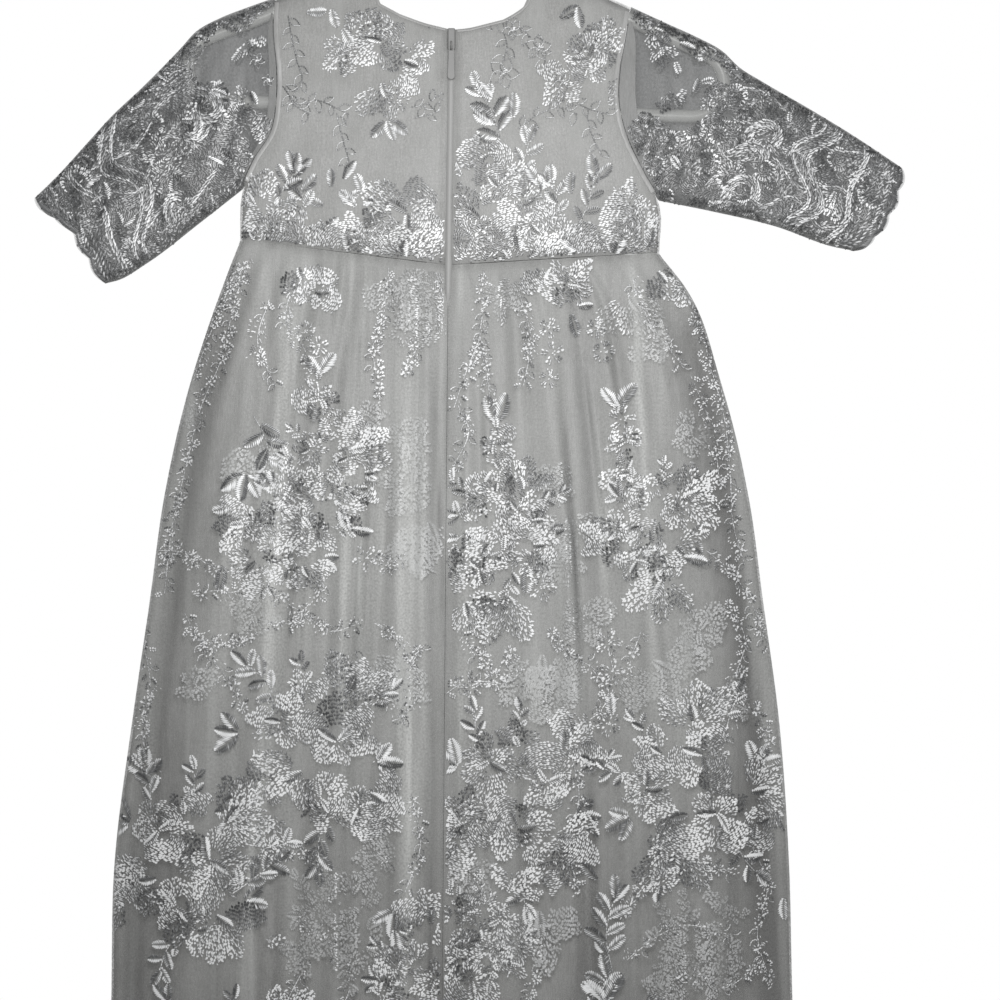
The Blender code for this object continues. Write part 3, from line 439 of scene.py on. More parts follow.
def mesh_from(name, points, faces, smooth=True):
    """A mesh of those points, in millimetres, and faces that all have the same number of corners."""
    mesh = bpy.data.meshes.new(name)
    corners = faces.shape[1]
    mesh.vertices.add(len(points))
    mesh.vertices.foreach_set("co", (points * MM).astype(np.float32).ravel())
    mesh.loops.add(faces.size)
    mesh.loops.foreach_set("vertex_index", faces.astype(np.int32).ravel())
    mesh.polygons.add(len(faces))
    mesh.polygons.foreach_set("loop_start", np.arange(0, faces.size, corners, dtype=np.int32))
    mesh.update(calc_edges=True)
    if smooth:
        mesh.shade_smooth()
    return mesh


def piece(name, mesh, finish):
    """An object for the mesh with its material, on the gown's body."""
    made = bpy.data.objects.new(name, mesh)
    bpy.context.scene.collection.objects.link(made)
    mesh.materials.append(finish)
    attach(made, "gown")
    return made


def add_attribute(mesh, label, values):
    """A number at each point of the mesh, which its material reads."""
    data = mesh.attributes.new(label, "FLOAT", "POINT").data
    data.foreach_set("value", np.ravel(values).astype(np.float32))


def grid_faces(rows, columns, ring):
    """The faces of a grid of points; in a ring the last column joins the first."""
    i, j = np.meshgrid(np.arange(rows - 1), np.arange(columns if ring else columns - 1), indexing="ij")
    right = (j + 1) % columns
    corners = [i * columns + j, (i + 1) * columns + j, (i + 1) * columns + right, i * columns + right]
    return np.stack(corners, axis=-1).reshape(-1, 4)


def grid_piece(name, x, y, down, finish, ring=False, flip=False, values=()):
    """A surface over a grid of points, as a piece, with pairs of an attribute's name and its values."""
    points = np.stack([x, y, -down], axis=-1).reshape(-1, 3)
    faces = grid_faces(*x.shape, ring)
    mesh = mesh_from(name, points, faces[:, ::-1] if flip else faces)
    for label, value in values:
        add_attribute(mesh, label, value)
    return piece(name, mesh, finish)


def declare_cloth(made, x, y, down, node, extra=()):
    """Hides the part of model.glb that the cloth replaces."""
    list(extra)
    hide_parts(node)


def thicken(made, thickness):
    """Gives a cloth its thickness, half on each side."""
    cloth = made.modifiers.new("cloth", "SOLIDIFY")
    cloth.thickness = thickness * MM
    cloth.offset = 0.0


# ------------------------------------------------------------------------------------ panels


FOLD_STEPS = np.array([0.0, 0.3, 1.0, 2.2, 3.9, 6.0])  # columns this far in from a folded edge
SLEEVE_ROWS = 52  # from the armhole to the cuff
SLEEVE_COLUMNS = 44  # from the top fold to the under one
SATIN_GRID = (6.0, 8.0)  # how far apart a panel's columns and rows are, in each cloth
TULLE_GRID = (2.0, 5.0)
SKIRT_FLARE = 1.5  # how much wider a skirt panel's columns are counted than its waist
SEAM_GAP = 0.2  # from the waist seam to a panel's edge, and from an armhole to the sleeve's
NECK_GAP = 0.3  # from the outline's upper edge to a bodice panel's


def shares(width, step, folds):
    """Shares of a panel's width for its columns: close at its folded edges, then about step apart."""
    low = FOLD_STEPS if folds[0] else np.zeros(1)
    high = width - (FOLD_STEPS if folds[1] else np.zeros(1))[::-1]
    count = max(2, int((high[0] - low[-1]) / step) + 1)
    return np.concatenate([low[:-1], np.linspace(low[-1], high[0], count), high[1:]]) / width


def zip_gap(down):
    """Half the parting of the centre back edges, which closes under the zip's foot."""
    return 0.1 + ZIP_HALF * (1 - smoothstep(ZIP_FOOT[1], ZIP_FOOT[1] + 8, down))


def side_line(rows, down, sign, radius, armpit):
    """A panel's side line: inside the outline by what a folded edge of that radius needs."""
    lean = np.hypot(1.0, through(rows, down + 1) - through(rows, down))
    inset = (OUTER_ROUND - radius) * lean
    if armpit:
        inset = 0.15 + (inset - 0.15) * smoothstep(armpit - 8, armpit + 3, down)
    return through(rows, down) + sign * inset


def body_panel(part, radius, skirt):
    """The x of a panel's columns by height and share, and which of its sides are folded edges."""
    rows = (SKIRT_LEFT, SKIRT_RIGHT) if skirt else (BODICE_LEFT, BODICE_RIGHT)
    armpits = (None, None) if skirt else (ARMPIT_LEFT, ARMPIT_RIGHT)

    def place(down, share):
        low = side_line(rows[0], down, 1.0, radius, armpits[0])
        high = side_line(rows[1], down, -1.0, radius, armpits[1])
        if part == "right":
            low = centre_back(down) + zip_gap(down)
        if part == "left":
            high = centre_back(down) - zip_gap(down)
        return low + (high - low) * share

    return place, (part != "right", part != "left")


def panel_ends(place, share, facing, skirt):
    """The heights of the top and the foot of a panel's columns; a skirt's foot is its hem."""

    def column(level):
        return place(np.full(share.shape, level), share)

    if skirt:
        top = waist_at(column(SKIRT_LEVEL), facing)
        return top, np.full_like(top, HEM)
    neck = np.array(BACK_NECK if facing < 0 else FRONT_NECK)
    return np.interp(column(NECK_LEVEL), *neck.T), waist_at(column(WAIST_LEVEL), facing)


def cloth_panel(name, layer, part, facing, skirt, step, row_step, finish, slot, node):
    """A panel of the bodice or the skirt, with its grid and the node that it replaces."""
    radius = LINING_RADIUS if layer == "satin" else TULLE_RADIUS
    place, folds = body_panel(part, radius, skirt)
    level = np.full(1, WAIST)
    width = float((place(level, 1.0) - place(level, 0.0))[0])
    if skirt:
        width *= SKIRT_FLARE
    share = shares(width, step, folds)
    top, foot = panel_ends(place, share, facing, skirt)
    if skirt:
        top = top + SEAM_GAP
        foot = foot - (0.0 if layer == "tulle" else HEM - LINING_HEM)
        t = np.linspace(0.0, 1.0, int((foot[0] - top[0]) / row_step) + 1)
        t = 0.55 * t + 0.45 * t * t
    else:
        on_shoulder = np.abs(place(np.full(share.shape, SHOULDER_LEVEL), share) - NECK_MIDDLE) > NECK_HALF
        top = top + NECK_GAP + np.where(on_shoulder, OUTER_ROUND - radius, 0.0)
        foot = foot - SEAM_GAP
        t = np.linspace(0.0, 1.0, int((foot[0] - top[0]) / row_step) + 1) ** 1.25
    down = top + (foot - top) * t[:, None]
    x = place(down, share[None, :] * np.ones_like(down))
    out = body_out(x, down, radius, facing, layer)
    y = facing * out
    values = []
    if layer == "tulle":
        values.append(("veil", veil(x, down, facing, BODY_VEIL, skirt)))
        # pale: the doubled net's paleness, with painted light and shade
        values.append(("pale", paleness(x, down, facing) if skirt else np.zeros_like(x)))
    made = grid_piece(name, x, y, down, finish, flip=facing > 0, values=values)
    if layer == "satin":
        thicken(made, SATIN)
    return made, (x, y, down, node)


def sleeve_plane(side, s, v):
    """The (x, down) of a sleeve at shares s from armhole to cuff and v from top to under fold.

    It is the patch between those four lines: the sum of the two ruled surfaces less the
    bilinear one through the corners. The cuff's edge runs out in scallops.
    """
    top_line, under_line, cuff_line = SLEEVES[side]
    rows, armpit, outward = ARMHOLES[side]
    levels = top_line[0][1] + v * (armpit - top_line[0][1])
    start = np.stack([through(rows, levels) + outward * SEAM_GAP, levels], axis=-1)
    end = along(cuff_line, v)
    top, under = along(top_line, s), along(under_line, s)
    s3, v3 = s[..., None], v[..., None]
    first, last = np.array([top_line[0], under_line[0]]), np.array([top_line[-1], under_line[-1]])
    corners = (1 - s3) * ((1 - v3) * first[0] + v3 * first[1]) + s3 * ((1 - v3) * last[0] + v3 * last[1])
    plane = (1 - s3) * start + s3 * end + (1 - v3) * top + v3 * under - corners
    reach = smoothstep(0.85, 1.0, s)
    scallop = SCALLOP_DEPTH * (np.abs(np.sin(np.pi * SCALLOPS * v)) - 0.5) * reach
    return plane + scallop[..., None] * np.array(CUFF_FACES) * (outward, 1.0)


def sleeve(side, finish):
    """A sleeve: a flattened tube of net, open at the armhole and at the cuff."""
    s = np.linspace(0.0, 1.0, SLEEVE_ROWS)
    v = 0.5 - 0.5 * np.cos(np.linspace(0.0, np.pi, SLEEVE_COLUMNS))
    v = 0.6 * v + 0.4 * np.linspace(0.0, 1.0, SLEEVE_COLUMNS)
    grid_s, grid_v = np.meshgrid(s, v, indexing="ij")
    plane = sleeve_plane(side, grid_s, grid_v)
    x, down = plane[..., 0], plane[..., 1]
    back, front = -sleeve_out(x, down, -1), sleeve_out(x, down, 1)
    back[:, [0, -1]] = 0.0
    layers = (x, x), (back, front), (down, down)
    ring = [np.concatenate([a, b[:, 1:-1][:, ::-1]], axis=1) for a, b in layers]
    x, y, down = (part[:, ::-1] if side == "right" else part for part in ring)
    veiled = SLEEVE_VEIL[0] + (SLEEVE_VEIL[1] - SLEEVE_VEIL[0]) * smoothstep(-2.0, 2.0, y)
    made = grid_piece(
        f"sleeve_net_{side}", x, y, down, finish, ring=True, values=[("veil", veiled)]
    )
    return made, (x, y, down, f"sleeve_{side}")


# -------------------------------------------------------------------------------- embroidery
# A motif is an array with a row for each stitch: x and down of its two ends, its width, how
# far it stands up, and its tone, all about the motif's own middle with its heading along +x.

STITCH = 2.1  # length of a filling stitch
ROW = 1.08  # how far apart the rows of threads lie
FILL_WIDTH = 1.45  # wider than a row, so that the dark sides of two threads meet
LEAF_PITCH = 1.2
VINE_PITCH = 2.5  # how far apart a vine's leaves and flowers are
VINE_LEAF = 4.7
OUTLINE_PITCH = 4.2  # how far apart the leaves of an outlined vine are
COVER_SQUARE = 1.5  # what lies over another motif hides it in squares of this size
MOST_SQUARES = 4096  # more than the gown is high
RELIEF_STEP = 1.5  # of the grid from which the stitches read the cloth's height
# Painted light and shade: how bright a leaf's two halves and a petal are painted, by how their threads turn
# to the light.
LEAF_TONES = ((1.3, 0.4), (1.3, 0.3), (1.25, 1.1), (0.5, 0.3), (0.4, 1.25), (1.2, 1.2))
PETAL_TONES = (0.35, 0.7, 1.0, 1.15, 1.3)
BODICE_TONE = 1.06  # how bright the embroidery is on the bodice, and on the skirt
SKIRT_TONE = 1.38
LIGHT_ANGLE = math.radians(-35)  # threads along this heading are painted brightest, as if they caught the most light
SHINE_SHARE = 0.5  # how much of a thread's brightness is painted light by its heading
SPARKLES = 0.05  # the share of the stitches painted with a glint
SHADE_FADE_TONE = 1.05  # past this brightness a stitch's painted shade at its sides turns paler, by this share
SHADE_FADE_SHARE = 0.7
SUNK = 0.7  # how far most motifs of a fold lie behind its net; deeper ones have brighter threads
LONG_STITCH = 3.2
LEAST_STITCH = 0.4  # a shorter one is left out
SPARKLE = 1.6  # how many times brighter a stitch with a painted glint is
THREAD_TALL = (0.35, 0.65)  # the lowest and the tallest ridge of a thread over its foot
SUNK_TALL = 0.15  # the ridge of a thread that lies under the net
CLEARANCE = 0.1  # from the cloth to a stitch's foot
# Each kind of stitch: whether it is a long one, the corners of its faces, and for each of its
# points how far up it is and how bright, which is painted light: painted shade at its sides and a
# painted highlight on its ridge. Points 0 and 1 are its ends, 2 and 3 its sides, 4 its ridge.
STITCH_KINDS = (
    (
        True,
        np.array([[0, 4, 2], [0, 3, 4], [1, 2, 4], [1, 4, 3]]),
        np.array((0.05, 0.05, 0.05, 0.05, 1.0)),
        np.array((0.6, 0.7, 0.12, 0.12, 1.2)),
    ),
    (
        False,
        np.array([[0, 1, 2], [0, 3, 1]]),
        np.array((0.55, 0.55, 0.0, 0.0)),
        np.array((0.65, 1.5, 0.03, 0.03)),
    ),
)
WAIST_STRETCH = {"left": (-117, -8), "right": (0, 107), "whole": (-117, 107)}  # in x, of half flowers
PAINTED_SEAM_SHADOW = (-87.0, -45.0)  # the stretch of the waist, in x, where dark stitches paint the seam's shadow
SLEEVE_GROUND = 0.5  # how dim the sleeves' ground of flowers is beside what lies on it
CORDS = 3
CURLS = 3
# A sleeve's wavy band: where it runs along the sleeve, how far it waves and half its width.
CUFF_BAND = 0.69
CUFF_WAVE = 0.045
CUFF_BAND_HALF = 0.028
# How far from the armhole the sleeves' net stays bare, as a share, and down to what height.
BARE_SHARE = {"left": 0.14, "right": 0.26}
BARE_FOOT = {"left": 152.0, "right": 160.0}


def stitch_rows(x0, d0, x1, d1, width, lift, tone):
    """Stitches from (x0, d0) to (x1, d1), as rows."""
    columns = np.broadcast_arrays(x0, d0, x1, d1, width, lift, tone)
    return np.stack([np.ravel(c).astype(float) for c in columns], axis=1)


def placed(motif, x, down, turn=0.0, lift=0.0):
    """The motif turned by that angle in degrees, from +x towards down, and moved to its place."""
    c, s = math.cos(math.radians(turn)), math.sin(math.radians(turn))
    made = motif.copy()
    for i in (0, 2):
        a, b = motif[:, i], motif[:, i + 1]
        made[:, i] = x + c * a - s * b
        made[:, i + 1] = down + s * a + c * b
    made[:, 5] += lift
    return made


def run_line(points, pitch, width, lift, tone=1.0, slant=0.0):
    """A line of short running stitches along the smooth curve through the points."""
    p = np.array(points, float)
    length = np.hypot(*np.diff(p, axis=0).T).sum()
    count = max(2, int(length / pitch))
    at = along(points, np.linspace(0.0, 1.0, count + 1))
    way = at[1:] - at[:-1]
    side = np.stack([-way[:, 1], way[:, 0]], axis=1) * slant
    a, b = at[:-1] - 0.12 * way - side, at[1:] + 0.12 * way + side
    return stitch_rows(a[:, 0], a[:, 1], b[:, 0], b[:, 1], width, lift, tone)


def leaf(length, dice, slim=0.48, bend=0.2):
    """A satin-stitched leaf: slanted stitches out from its vein to both edges, one half often painted dark as
    shade.

    Half its width is slim * length * sin(pi t ** 0.9) ** 0.6 / 2 at a share t of its length, and
    its tip bends aside by the square of how far along it is.
    """
    count = max(3, int(length / LEAF_PITCH))
    t = (np.arange(count) + 0.5) / count
    half = 0.5 * slim * length * np.sin(np.pi * t**0.9) ** 0.6 + 0.25
    bow = length * dice.uniform(-bend, bend)
    # painted light and shade: the tones of the leaf's two halves
    tones = LEAF_TONES[dice.integers(len(LEAF_TONES))]
    parts = []
    for side, tone in ((-1.0, tones[0]), (1.0, tones[1])):
        x0, y0 = t * length * 0.9, side * 0.12 + 0 * t
        x1, y1 = x0 + 0.5 * half + 0.2, side * half * dice.uniform(0.85, 1.05, count)
        y0, y1 = y0 + bow * (x0 / length) ** 2, y1 + bow * (x1 / length) ** 2
        parts.append(stitch_rows(x0, y0, x1, y1, FILL_WIDTH, 0.5, tone * dice.uniform(0.8, 1.15, count)))
    return np.concatenate(parts)


def open_leaf(length, width, bend=0.1):
    """A leaf drawn in outline with running stitches, one side of it painted dark as shade."""
    t = np.linspace(0.0, 1.0, 7)
    half = 0.5 * width * np.sin(np.pi * t**0.8)
    bow = bend * length * t**2
    up = np.column_stack([t * length, bow - half])
    low = np.column_stack([t * length, bow + half])
    # painted shade: one outline at tone 0.4, the other at 0.9
    return np.concatenate([run_line(up, 1.2, 0.8, 0.35, 0.4), run_line(low, 1.2, 0.8, 0.35, 0.9)])


def laid_over(below, above):
    """Both, without what lies below in each small square of the cloth that holds stitches from above."""
    if not len(below):
        return above
    squares = []
    for rows in (below, above):
        across = np.floor((rows[:, 0] + rows[:, 2]) / 2 / COVER_SQUARE)
        down = np.floor((rows[:, 1] + rows[:, 3]) / 2 / COVER_SQUARE)
        squares.append(across * MOST_SQUARES + down)
    return np.concatenate([below[~np.isin(*squares)], above])


def fan(reach, half_angle, dice, tone, start, point=0.0, around=False):
    """A petal: rows of short stitches about its foot, which run out from it or around it.

    Its edge is at reach * (cos(1.2 s) ** 0.4 + 0.07 sin(3 s + phase)), s being the angle from its
    middle over its spread, and point pulls its tip out. Each row is staggered, and every stitch is
    a little off its place. One side of the petal is painted brighter and the other darker, as
    painted shading of its bow.
    """
    spread = math.radians(half_angle)
    step, pitch = (ROW, STITCH) if around else (STITCH, ROW)
    phase = dice.uniform(0, 2 * np.pi)
    # painted shading of the petal's bow: one side brighter, the other darker
    lit = dice.choice((-0.5, 0.5))
    parts = []
    for k, r in enumerate(np.arange(start * reach, reach * (1.1 + point), step)):
        wide = max(r, 2.0)
        count = max(2, int(2 * spread * wide / pitch))
        even = (np.arange(count) + 0.5 + 0.5 * (k % 2)) / count * 2 - 1
        share = even + dice.normal(0.0, 0.3 / wide / spread, count)
        rounding = np.cos(1.2 * np.clip(np.abs(share), 0.0, 1.0)) ** 0.4
        edge = reach * (rounding + 0.07 * np.sin(3 * share + phase))
        edge = edge + reach * point * (np.exp(-((share / 0.3) ** 2)) - 0.5)
        a = share * spread
        r0 = r + dice.uniform(-0.26, 0.26, count) * step
        if around:
            turn = pitch / wide
            a, r1, keep = a - turn / 2, r0, r0 < edge
        else:
            turn = dice.normal(0.0, 0.05, count)
            r1 = np.minimum(r0 + step * dice.uniform(0.85, 1.1, count), edge)
            keep = r1 - r0 > 0.6
        b = a + turn
        # painted shading across the petal, from lit
        shade = tone * (0.8 + 0.25 * np.clip(r / reach, 0, 1)) * (1 + lit * share)
        shade = shade * dice.uniform(0.8, 1.15, count)
        ends = r0 * np.cos(a), r0 * np.sin(a), r1 * np.cos(b), r1 * np.sin(b)
        rows = stitch_rows(*ends, FILL_WIDTH, 0.4, shade)
        parts.append(rows[keep & (np.abs(share) < 1.0)])
    return np.concatenate(parts)


def blossom(size, dice):
    """An open flower seen askew: uneven petals about a bare heart, and smaller ones on one side."""
    lean = dice.uniform(0, 360)
    c, s = math.cos(math.radians(lean)), math.sin(math.radians(lean))
    made = np.empty((0, 7))
    for k in dice.permutation(6):
        angle = lean + 60 * k + dice.uniform(-16, 16)
        reach = size * (0.46 + 0.08 * math.cos(math.radians(60 * k))) * dice.uniform(0.72, 1.15)
        half_angle, tone = dice.uniform(30, 46), dice.choice(PETAL_TONES)
        point, around = dice.choice((0.0, 0.0, 0.25)), dice.random() < 0.45
        petal = fan(reach, half_angle, dice, tone, 0.32, point, around)
        made = laid_over(made, placed(petal, 0.0, 0.0, angle))
    for k in dice.permutation(3):
        angle = lean + 180 + 52 * (k - 1) + dice.uniform(-12, 12)
        reach, tone = size * dice.uniform(0.25, 0.36), dice.choice(PETAL_TONES)
        petal = fan(reach, 38.0, dice, tone, 0.35, 0.1, dice.random() < 0.4)
        made = laid_over(made, placed(petal, 0.06 * size * c, 0.06 * size * s, angle))
    for k in range(2):
        angle = lean + 60 * (2 * k - 1) + dice.uniform(-20, 20)
        blade = leaf(size * dice.uniform(0.22, 0.3), dice, 0.4, 0.35)
        made = laid_over(made, placed(blade, 0.0, 0.0, angle, lift=0.3))
    return made


def shell(size, dice):
    """A half flower, as if seen from its side: three petals spread from one foot, and its sepal."""
    made = np.empty((0, 7))
    for angle in dice.permutation((-52.0, 48.0, 0.0)):
        reach, half_angle = size * dice.uniform(0.75, 1.05), dice.uniform(28, 38)
        tone, around = dice.choice(PETAL_TONES), dice.random() < 0.4
        petal = fan(reach, half_angle, dice, tone, 0.25, 0.15, around)
        made = laid_over(made, placed(petal, 0, 0, angle + dice.uniform(-10, 10)))
    return laid_over(made, placed(leaf(size * 0.45, dice), 0, 0, dice.uniform(-30, 30), lift=0.3))


def rosette(size, dice):
    """A round flower: short threads that ray out at its rim, painted brighter on one side, and a dim heart.
    """
    rim = fan(size / 2, 170.0, dice, 1.25, start=0.62)
    heart = fan(size * 0.34, 170.0, dice, 0.4, start=0.2, around=True)
    return placed(laid_over(heart, rim), 0.0, 0.0, dice.uniform(0, 360))


def knots(size, count, lift, dice):
    """Short bright stitches close together, at the heart of a small flower."""
    x, down = dice.normal(0.0, size * 0.06, (count, 2)).T
    return stitch_rows(x, down, x + 1.0, down - 0.6, 0.9, lift, 1.3)


def floret(size, dice):
    """A small flower of five short petals, each only a few stitches, around a bright knot."""
    turn = dice.uniform(0, 72)
    petal = fan(size / 2, 30.0, dice, dice.uniform(0.7, 1.1), start=0.35)
    parts = [placed(petal, 0, 0, turn + 72 * k) for k in range(5)]
    return np.concatenate([*parts, knots(size, 5, 0.7, dice)])


def open_floret(size, dice):
    """A small flower of five outlined petals around a bright knot."""
    turn = dice.uniform(0, 72)
    parts = [placed(open_leaf(size / 2, size * 0.36, 0.0), 0, 0, turn + 72 * k) for k in range(5)]
    return np.concatenate([*parts, knots(size, 6, 0.9, dice)])


def trefoil(size, dice):
    """Three satin leaves from one point."""
    made = np.empty((0, 7))
    for angle in (-50.0, 46.0, 0.0):
        blade = leaf(size * dice.uniform(0.85, 1.1), dice)
        made = laid_over(made, placed(blade, 0, 0, angle + dice.uniform(-8, 8)))
    return made


def pair(size, dice):
    """Two satin leaves that part from one point, with a bud between their feet."""
    parts = [placed(leaf(size * dice.uniform(0.85, 1.1), dice), 0, 0, 30.0 * side) for side in (-1, 1)]
    parts.append(placed(leaf(size * 0.4, dice, 0.6), -0.2 * size, 0, 0, lift=0.2))
    return np.concatenate(parts)


def sprig(length, dice):
    """A stem with satin leaves on both sides by turns, and one at its tip; a long one has more."""
    bend = dice.uniform(-0.12, 0.12) * length
    made = run_line([(0.0, 0.0), (length * 0.4, bend), (length * 0.8, 0.0)], 1.6, 0.8, 0.4)
    for k, t in enumerate(np.linspace(0.15, 0.72, max(5, int(length / 6)))):
        side = 1 if k % 2 else -1
        size = min(length, 42.0) * dice.uniform(0.28, 0.36)
        at = 4 * bend * t * (0.8 - t) / 0.64
        made = laid_over(made, placed(leaf(size, dice), length * t, at, side * dice.uniform(32, 58)))
    tip = min(length, 42.0) * 0.34
    return laid_over(made, placed(leaf(tip, dice), length * 0.76, 0.0, dice.uniform(-14, 14)))


def spots_along(points, pitch):
    """The number, the place and the heading in degrees of spots about pitch apart on a line."""
    length = np.hypot(*np.diff(np.array(points, float), axis=0).T).sum()
    count = int(length / pitch)
    share = (np.arange(count) + 0.5) / count
    at, ahead = along(points, share), along(points, np.minimum(share + 0.01, 1.0))
    heading = np.degrees(np.arctan2(ahead[:, 1] - at[:, 1], ahead[:, 0] - at[:, 0]))
    return zip(range(count), at, heading, strict=True)


def vine(points, dice):
    """A running stem with little leaves, seeds and florets set close on both sides by turns."""
    made = run_line(points, 1.8, 0.8, 0.35, 0.9)
    size = VINE_LEAF
    for k, place, angle in spots_along(points, VINE_PITCH):
        side = 1 if k % 2 else -1
        kind = dice.random()
        turn = angle + side * dice.uniform(30, 80)
        step = dice.uniform(0.0, 2.5)
        x, down = place + step * np.array((math.cos(math.radians(turn)), math.sin(math.radians(turn))))
        if kind < 0.28:
            made = np.concatenate([made, placed(open_leaf(size, size * 0.55), x, down, turn)])
        elif kind < 0.48:
            made = laid_over(made, placed(leaf(size, dice, 0.5), x, down, turn))
        elif kind < 0.8:
            made = laid_over(made, placed(floret(size * dice.uniform(1.2, 1.8), dice), x, down, turn))
        elif kind < 0.97:
            a, b = dice.normal(0.0, 1.8, (6, 2)).T
            seeds = stitch_rows(a, b, a + 1.5, b + 0.5, 0.8, 0.5, 1.2)
            made = np.concatenate([made, placed(seeds, x, down, turn)])
    return made


def outline_vine(points, dice):
    """A fine stem with outlined leaves only."""
    made = run_line(points, 1.6, 0.7, 0.3, 0.45)
    for k, place, angle in spots_along(points, OUTLINE_PITCH):
        size = dice.uniform(5.5, 7.5)
        turn = angle + (1 if k % 2 else -1) * dice.uniform(35, 70)
        made = np.concatenate([made, placed(open_leaf(size, size * 0.5), *place, turn)])
    return made


# A group of flowers: kind, x and down from its middle, size and turn, all for a group 100 across.
GROUP = (
    ("sprig", -22, -24, 32, 232),
    ("sprig", -2, -34, 24, 262),
    ("sprig", 34, -24, 26, 335),
    ("sprig", -26, 6, 40, 112),
    ("sprig", 14, 34, 34, 84),
    ("trefoil", 42, 6, 16, 350),
    ("trefoil", -36, -8, 16, 195),
    ("shell", -26, 30, 30, 130),
    ("shell", 24, -34, 28, 300),
    ("blossom", -24, 20, 36, 0),
    ("blossom", 28, 34, 34, 0),
    ("blossom", -18, -16, 38, 0),
    ("shell", 34, 20, 24, 20),
    ("blossom", 8, 22, 44, 0),
    ("shell", -4, 12, 24, 150),
    ("blossom", 20, -10, 44, 0),
    ("shell", -2, -26, 18, 250),
)


def group(size, dice):
    """Flowers over each other with leaves at their edge, from the group's table, a little shuffled."""
    made = np.empty((0, 7))
    for kind, x, down, own, turn in GROUP:
        x, down = x + dice.uniform(-4, 4), down + dice.uniform(-4, 4)
        motif = MOTIFS[kind](own * dice.uniform(0.95, 1.2) * size / 100, dice)
        made = laid_over(made, placed(motif, x * size / 100, down * size / 100, turn + dice.uniform(-18, 18)))
    return made


MOTIFS = {
    "leaf": leaf,
    "blossom": blossom,
    "shell": shell,
    "rosette": rosette,
    "floret": floret,
    "open_floret": open_floret,
    "trefoil": trefoil,
    "pair": pair,
    "sprig": sprig,
    "group": group,
}


def arrange(table, seed):
    """The motifs of a table's rows: kind, x, down, size, turn and, below the net, a negative lift."""
    made, hidden = np.empty((0, 7)), [np.empty((0, 7))]
    for n, row in enumerate(table):
        kind, x, down, size, turn = row[:5]
        dice = np.random.default_rng([seed, n])
        motif = MOTIFS[kind](size, dice)
        if len(row) > 5:
            motif[:, 6] = (1.15 + 0.4 * motif[:, 6]) * (row[5] / SUNK) ** 2
            motif[:, 5] = 0.4
            hidden.append(placed(motif, x, down, turn, lift=row[5]))
        else:
            made = laid_over(made, placed(motif, x, down, turn))
    return np.concatenate([made, *hidden])


def within(x, down, outline):
    """Whether each point is inside the outline, by counting the edges that lie to one side of it."""
    a, b = outline, np.roll(outline, -1, axis=0)
    crossed = np.zeros(len(x), bool)
    for (x0, d0), (x1, d1) in zip(a, b, strict=True):
        if d0 != d1:
            hit = ((d0 > down) != (d1 > down)) & (x < (x1 - x0) * (down - d0) / (d1 - d0) + x0)
            crossed ^= hit
    return crossed


def scatter(outline, kinds, gap, seed):
    """Motifs spread over an outline at least gap apart, the later ones over the earlier."""
    dice = np.random.default_rng(seed)
    low, high = outline.min(0), outline.max(0)
    spots = low + (high - low) * dice.random((900, 2))
    spots = spots[within(spots[:, 0], spots[:, 1], outline)]
    places, made = [], np.empty((0, 7))
    for p in spots:
        if places and np.hypot(*(np.array(places) - p).T).min() < gap:
            continue
        places.append(p)
        kind, size = kinds[dice.integers(len(kinds))]
        size = size * dice.uniform(0.85, 1.15)
        made = laid_over(made, placed(MOTIFS[kind](size, dice), *p, dice.uniform(0, 360)))
    return made


def stitch_mesh(name, sets):
    """One mesh of all the stitches in sets of (stitches, out, facing).

    A short stitch is a tent of 2 faces, whose ridge runs from end to end. A long one has 4, about a
    ridge point in its middle. Its tone carries painted light: a stitch is painted brighter the nearer
    its heading is to the light's, a few get a painted glint, and its sides get painted shade, as in
    the gaps where threads meet, less on the brightest ones.
    """
    points, faces, tones, count = [], [], [], 0
    dice = np.random.default_rng(SEED + len(name))
    for rows, out, facing in sets:
        way = rows[:, 2:4] - rows[:, 0:2]
        length = np.hypot(*way.T)
        keep = length > LEAST_STITCH
        rows, way, length = rows[keep], way[keep], length[keep]
        across = np.stack([-way[:, 1], way[:, 0]], axis=1) / length[:, None]
        angle = np.arctan2(way[:, 1], way[:, 0])
        # painted light: a thread whose heading lies near LIGHT_ANGLE is painted brighter
        shine = 0.5 + 0.5 * np.cos(2 * (angle - LIGHT_ANGLE))
        tone = rows[:, 6] * (1 - SHINE_SHARE + SHINE_SHARE * shine) * dice.uniform(0.75, 1.2, len(rows))
        # painted glints: a few stitches painted brighter
        tone = tone * np.where(dice.random(len(rows)) < SPARKLES, SPARKLE, 1.0)
        for long, corners, lifts, shades in STITCH_KINDS:
            pick = (length > LONG_STITCH) == long
            r, half = rows[pick], 0.5 * rows[pick, 4:5] * across[pick]
            middle = r[:, 0:2] + 0.5 * way[pick]
            spots = [r[:, 0:2], r[:, 2:4], middle - half, middle + half, middle]
            spot = np.stack(spots[: len(lifts)], axis=1)
            x, down = spot[..., 0], spot[..., 1]
            # what stands over a lower motif keeps its foot on it
            lift = r[:, 5:6]
            foot = np.maximum(lift - THREAD_TALL[1], 0.0) + np.minimum(lift, 0.0)
            tall = np.where(lift < 0, SUNK_TALL, np.clip(lift, *THREAD_TALL))
            height = foot + CLEARANCE + lifts * tall
            cloud = np.stack([x, facing * (out(x, down) + height), -down], axis=-1)
            each = cloud.shape[1]
            local = corners if facing < 0 else corners[:, ::-1]
            index = count + each * np.arange(len(cloud))[:, None, None] + local[None]
            points.append(cloud.reshape(-1, 3))
            faces.append(index.reshape(-1, 3))
            own = tone[pick, None]
            # painted shade at the sides and a painted highlight on the ridge, with paler sides on the
            # brightest stitches
            tones.append((own * shades + SHADE_FADE_SHARE * np.maximum(own - SHADE_FADE_TONE, 0.0)).ravel())
            count += each * len(cloud)
    mesh = mesh_from(name, np.concatenate(points), np.concatenate(faces))
    add_attribute(mesh, "tone", np.concatenate(tones))
    return mesh


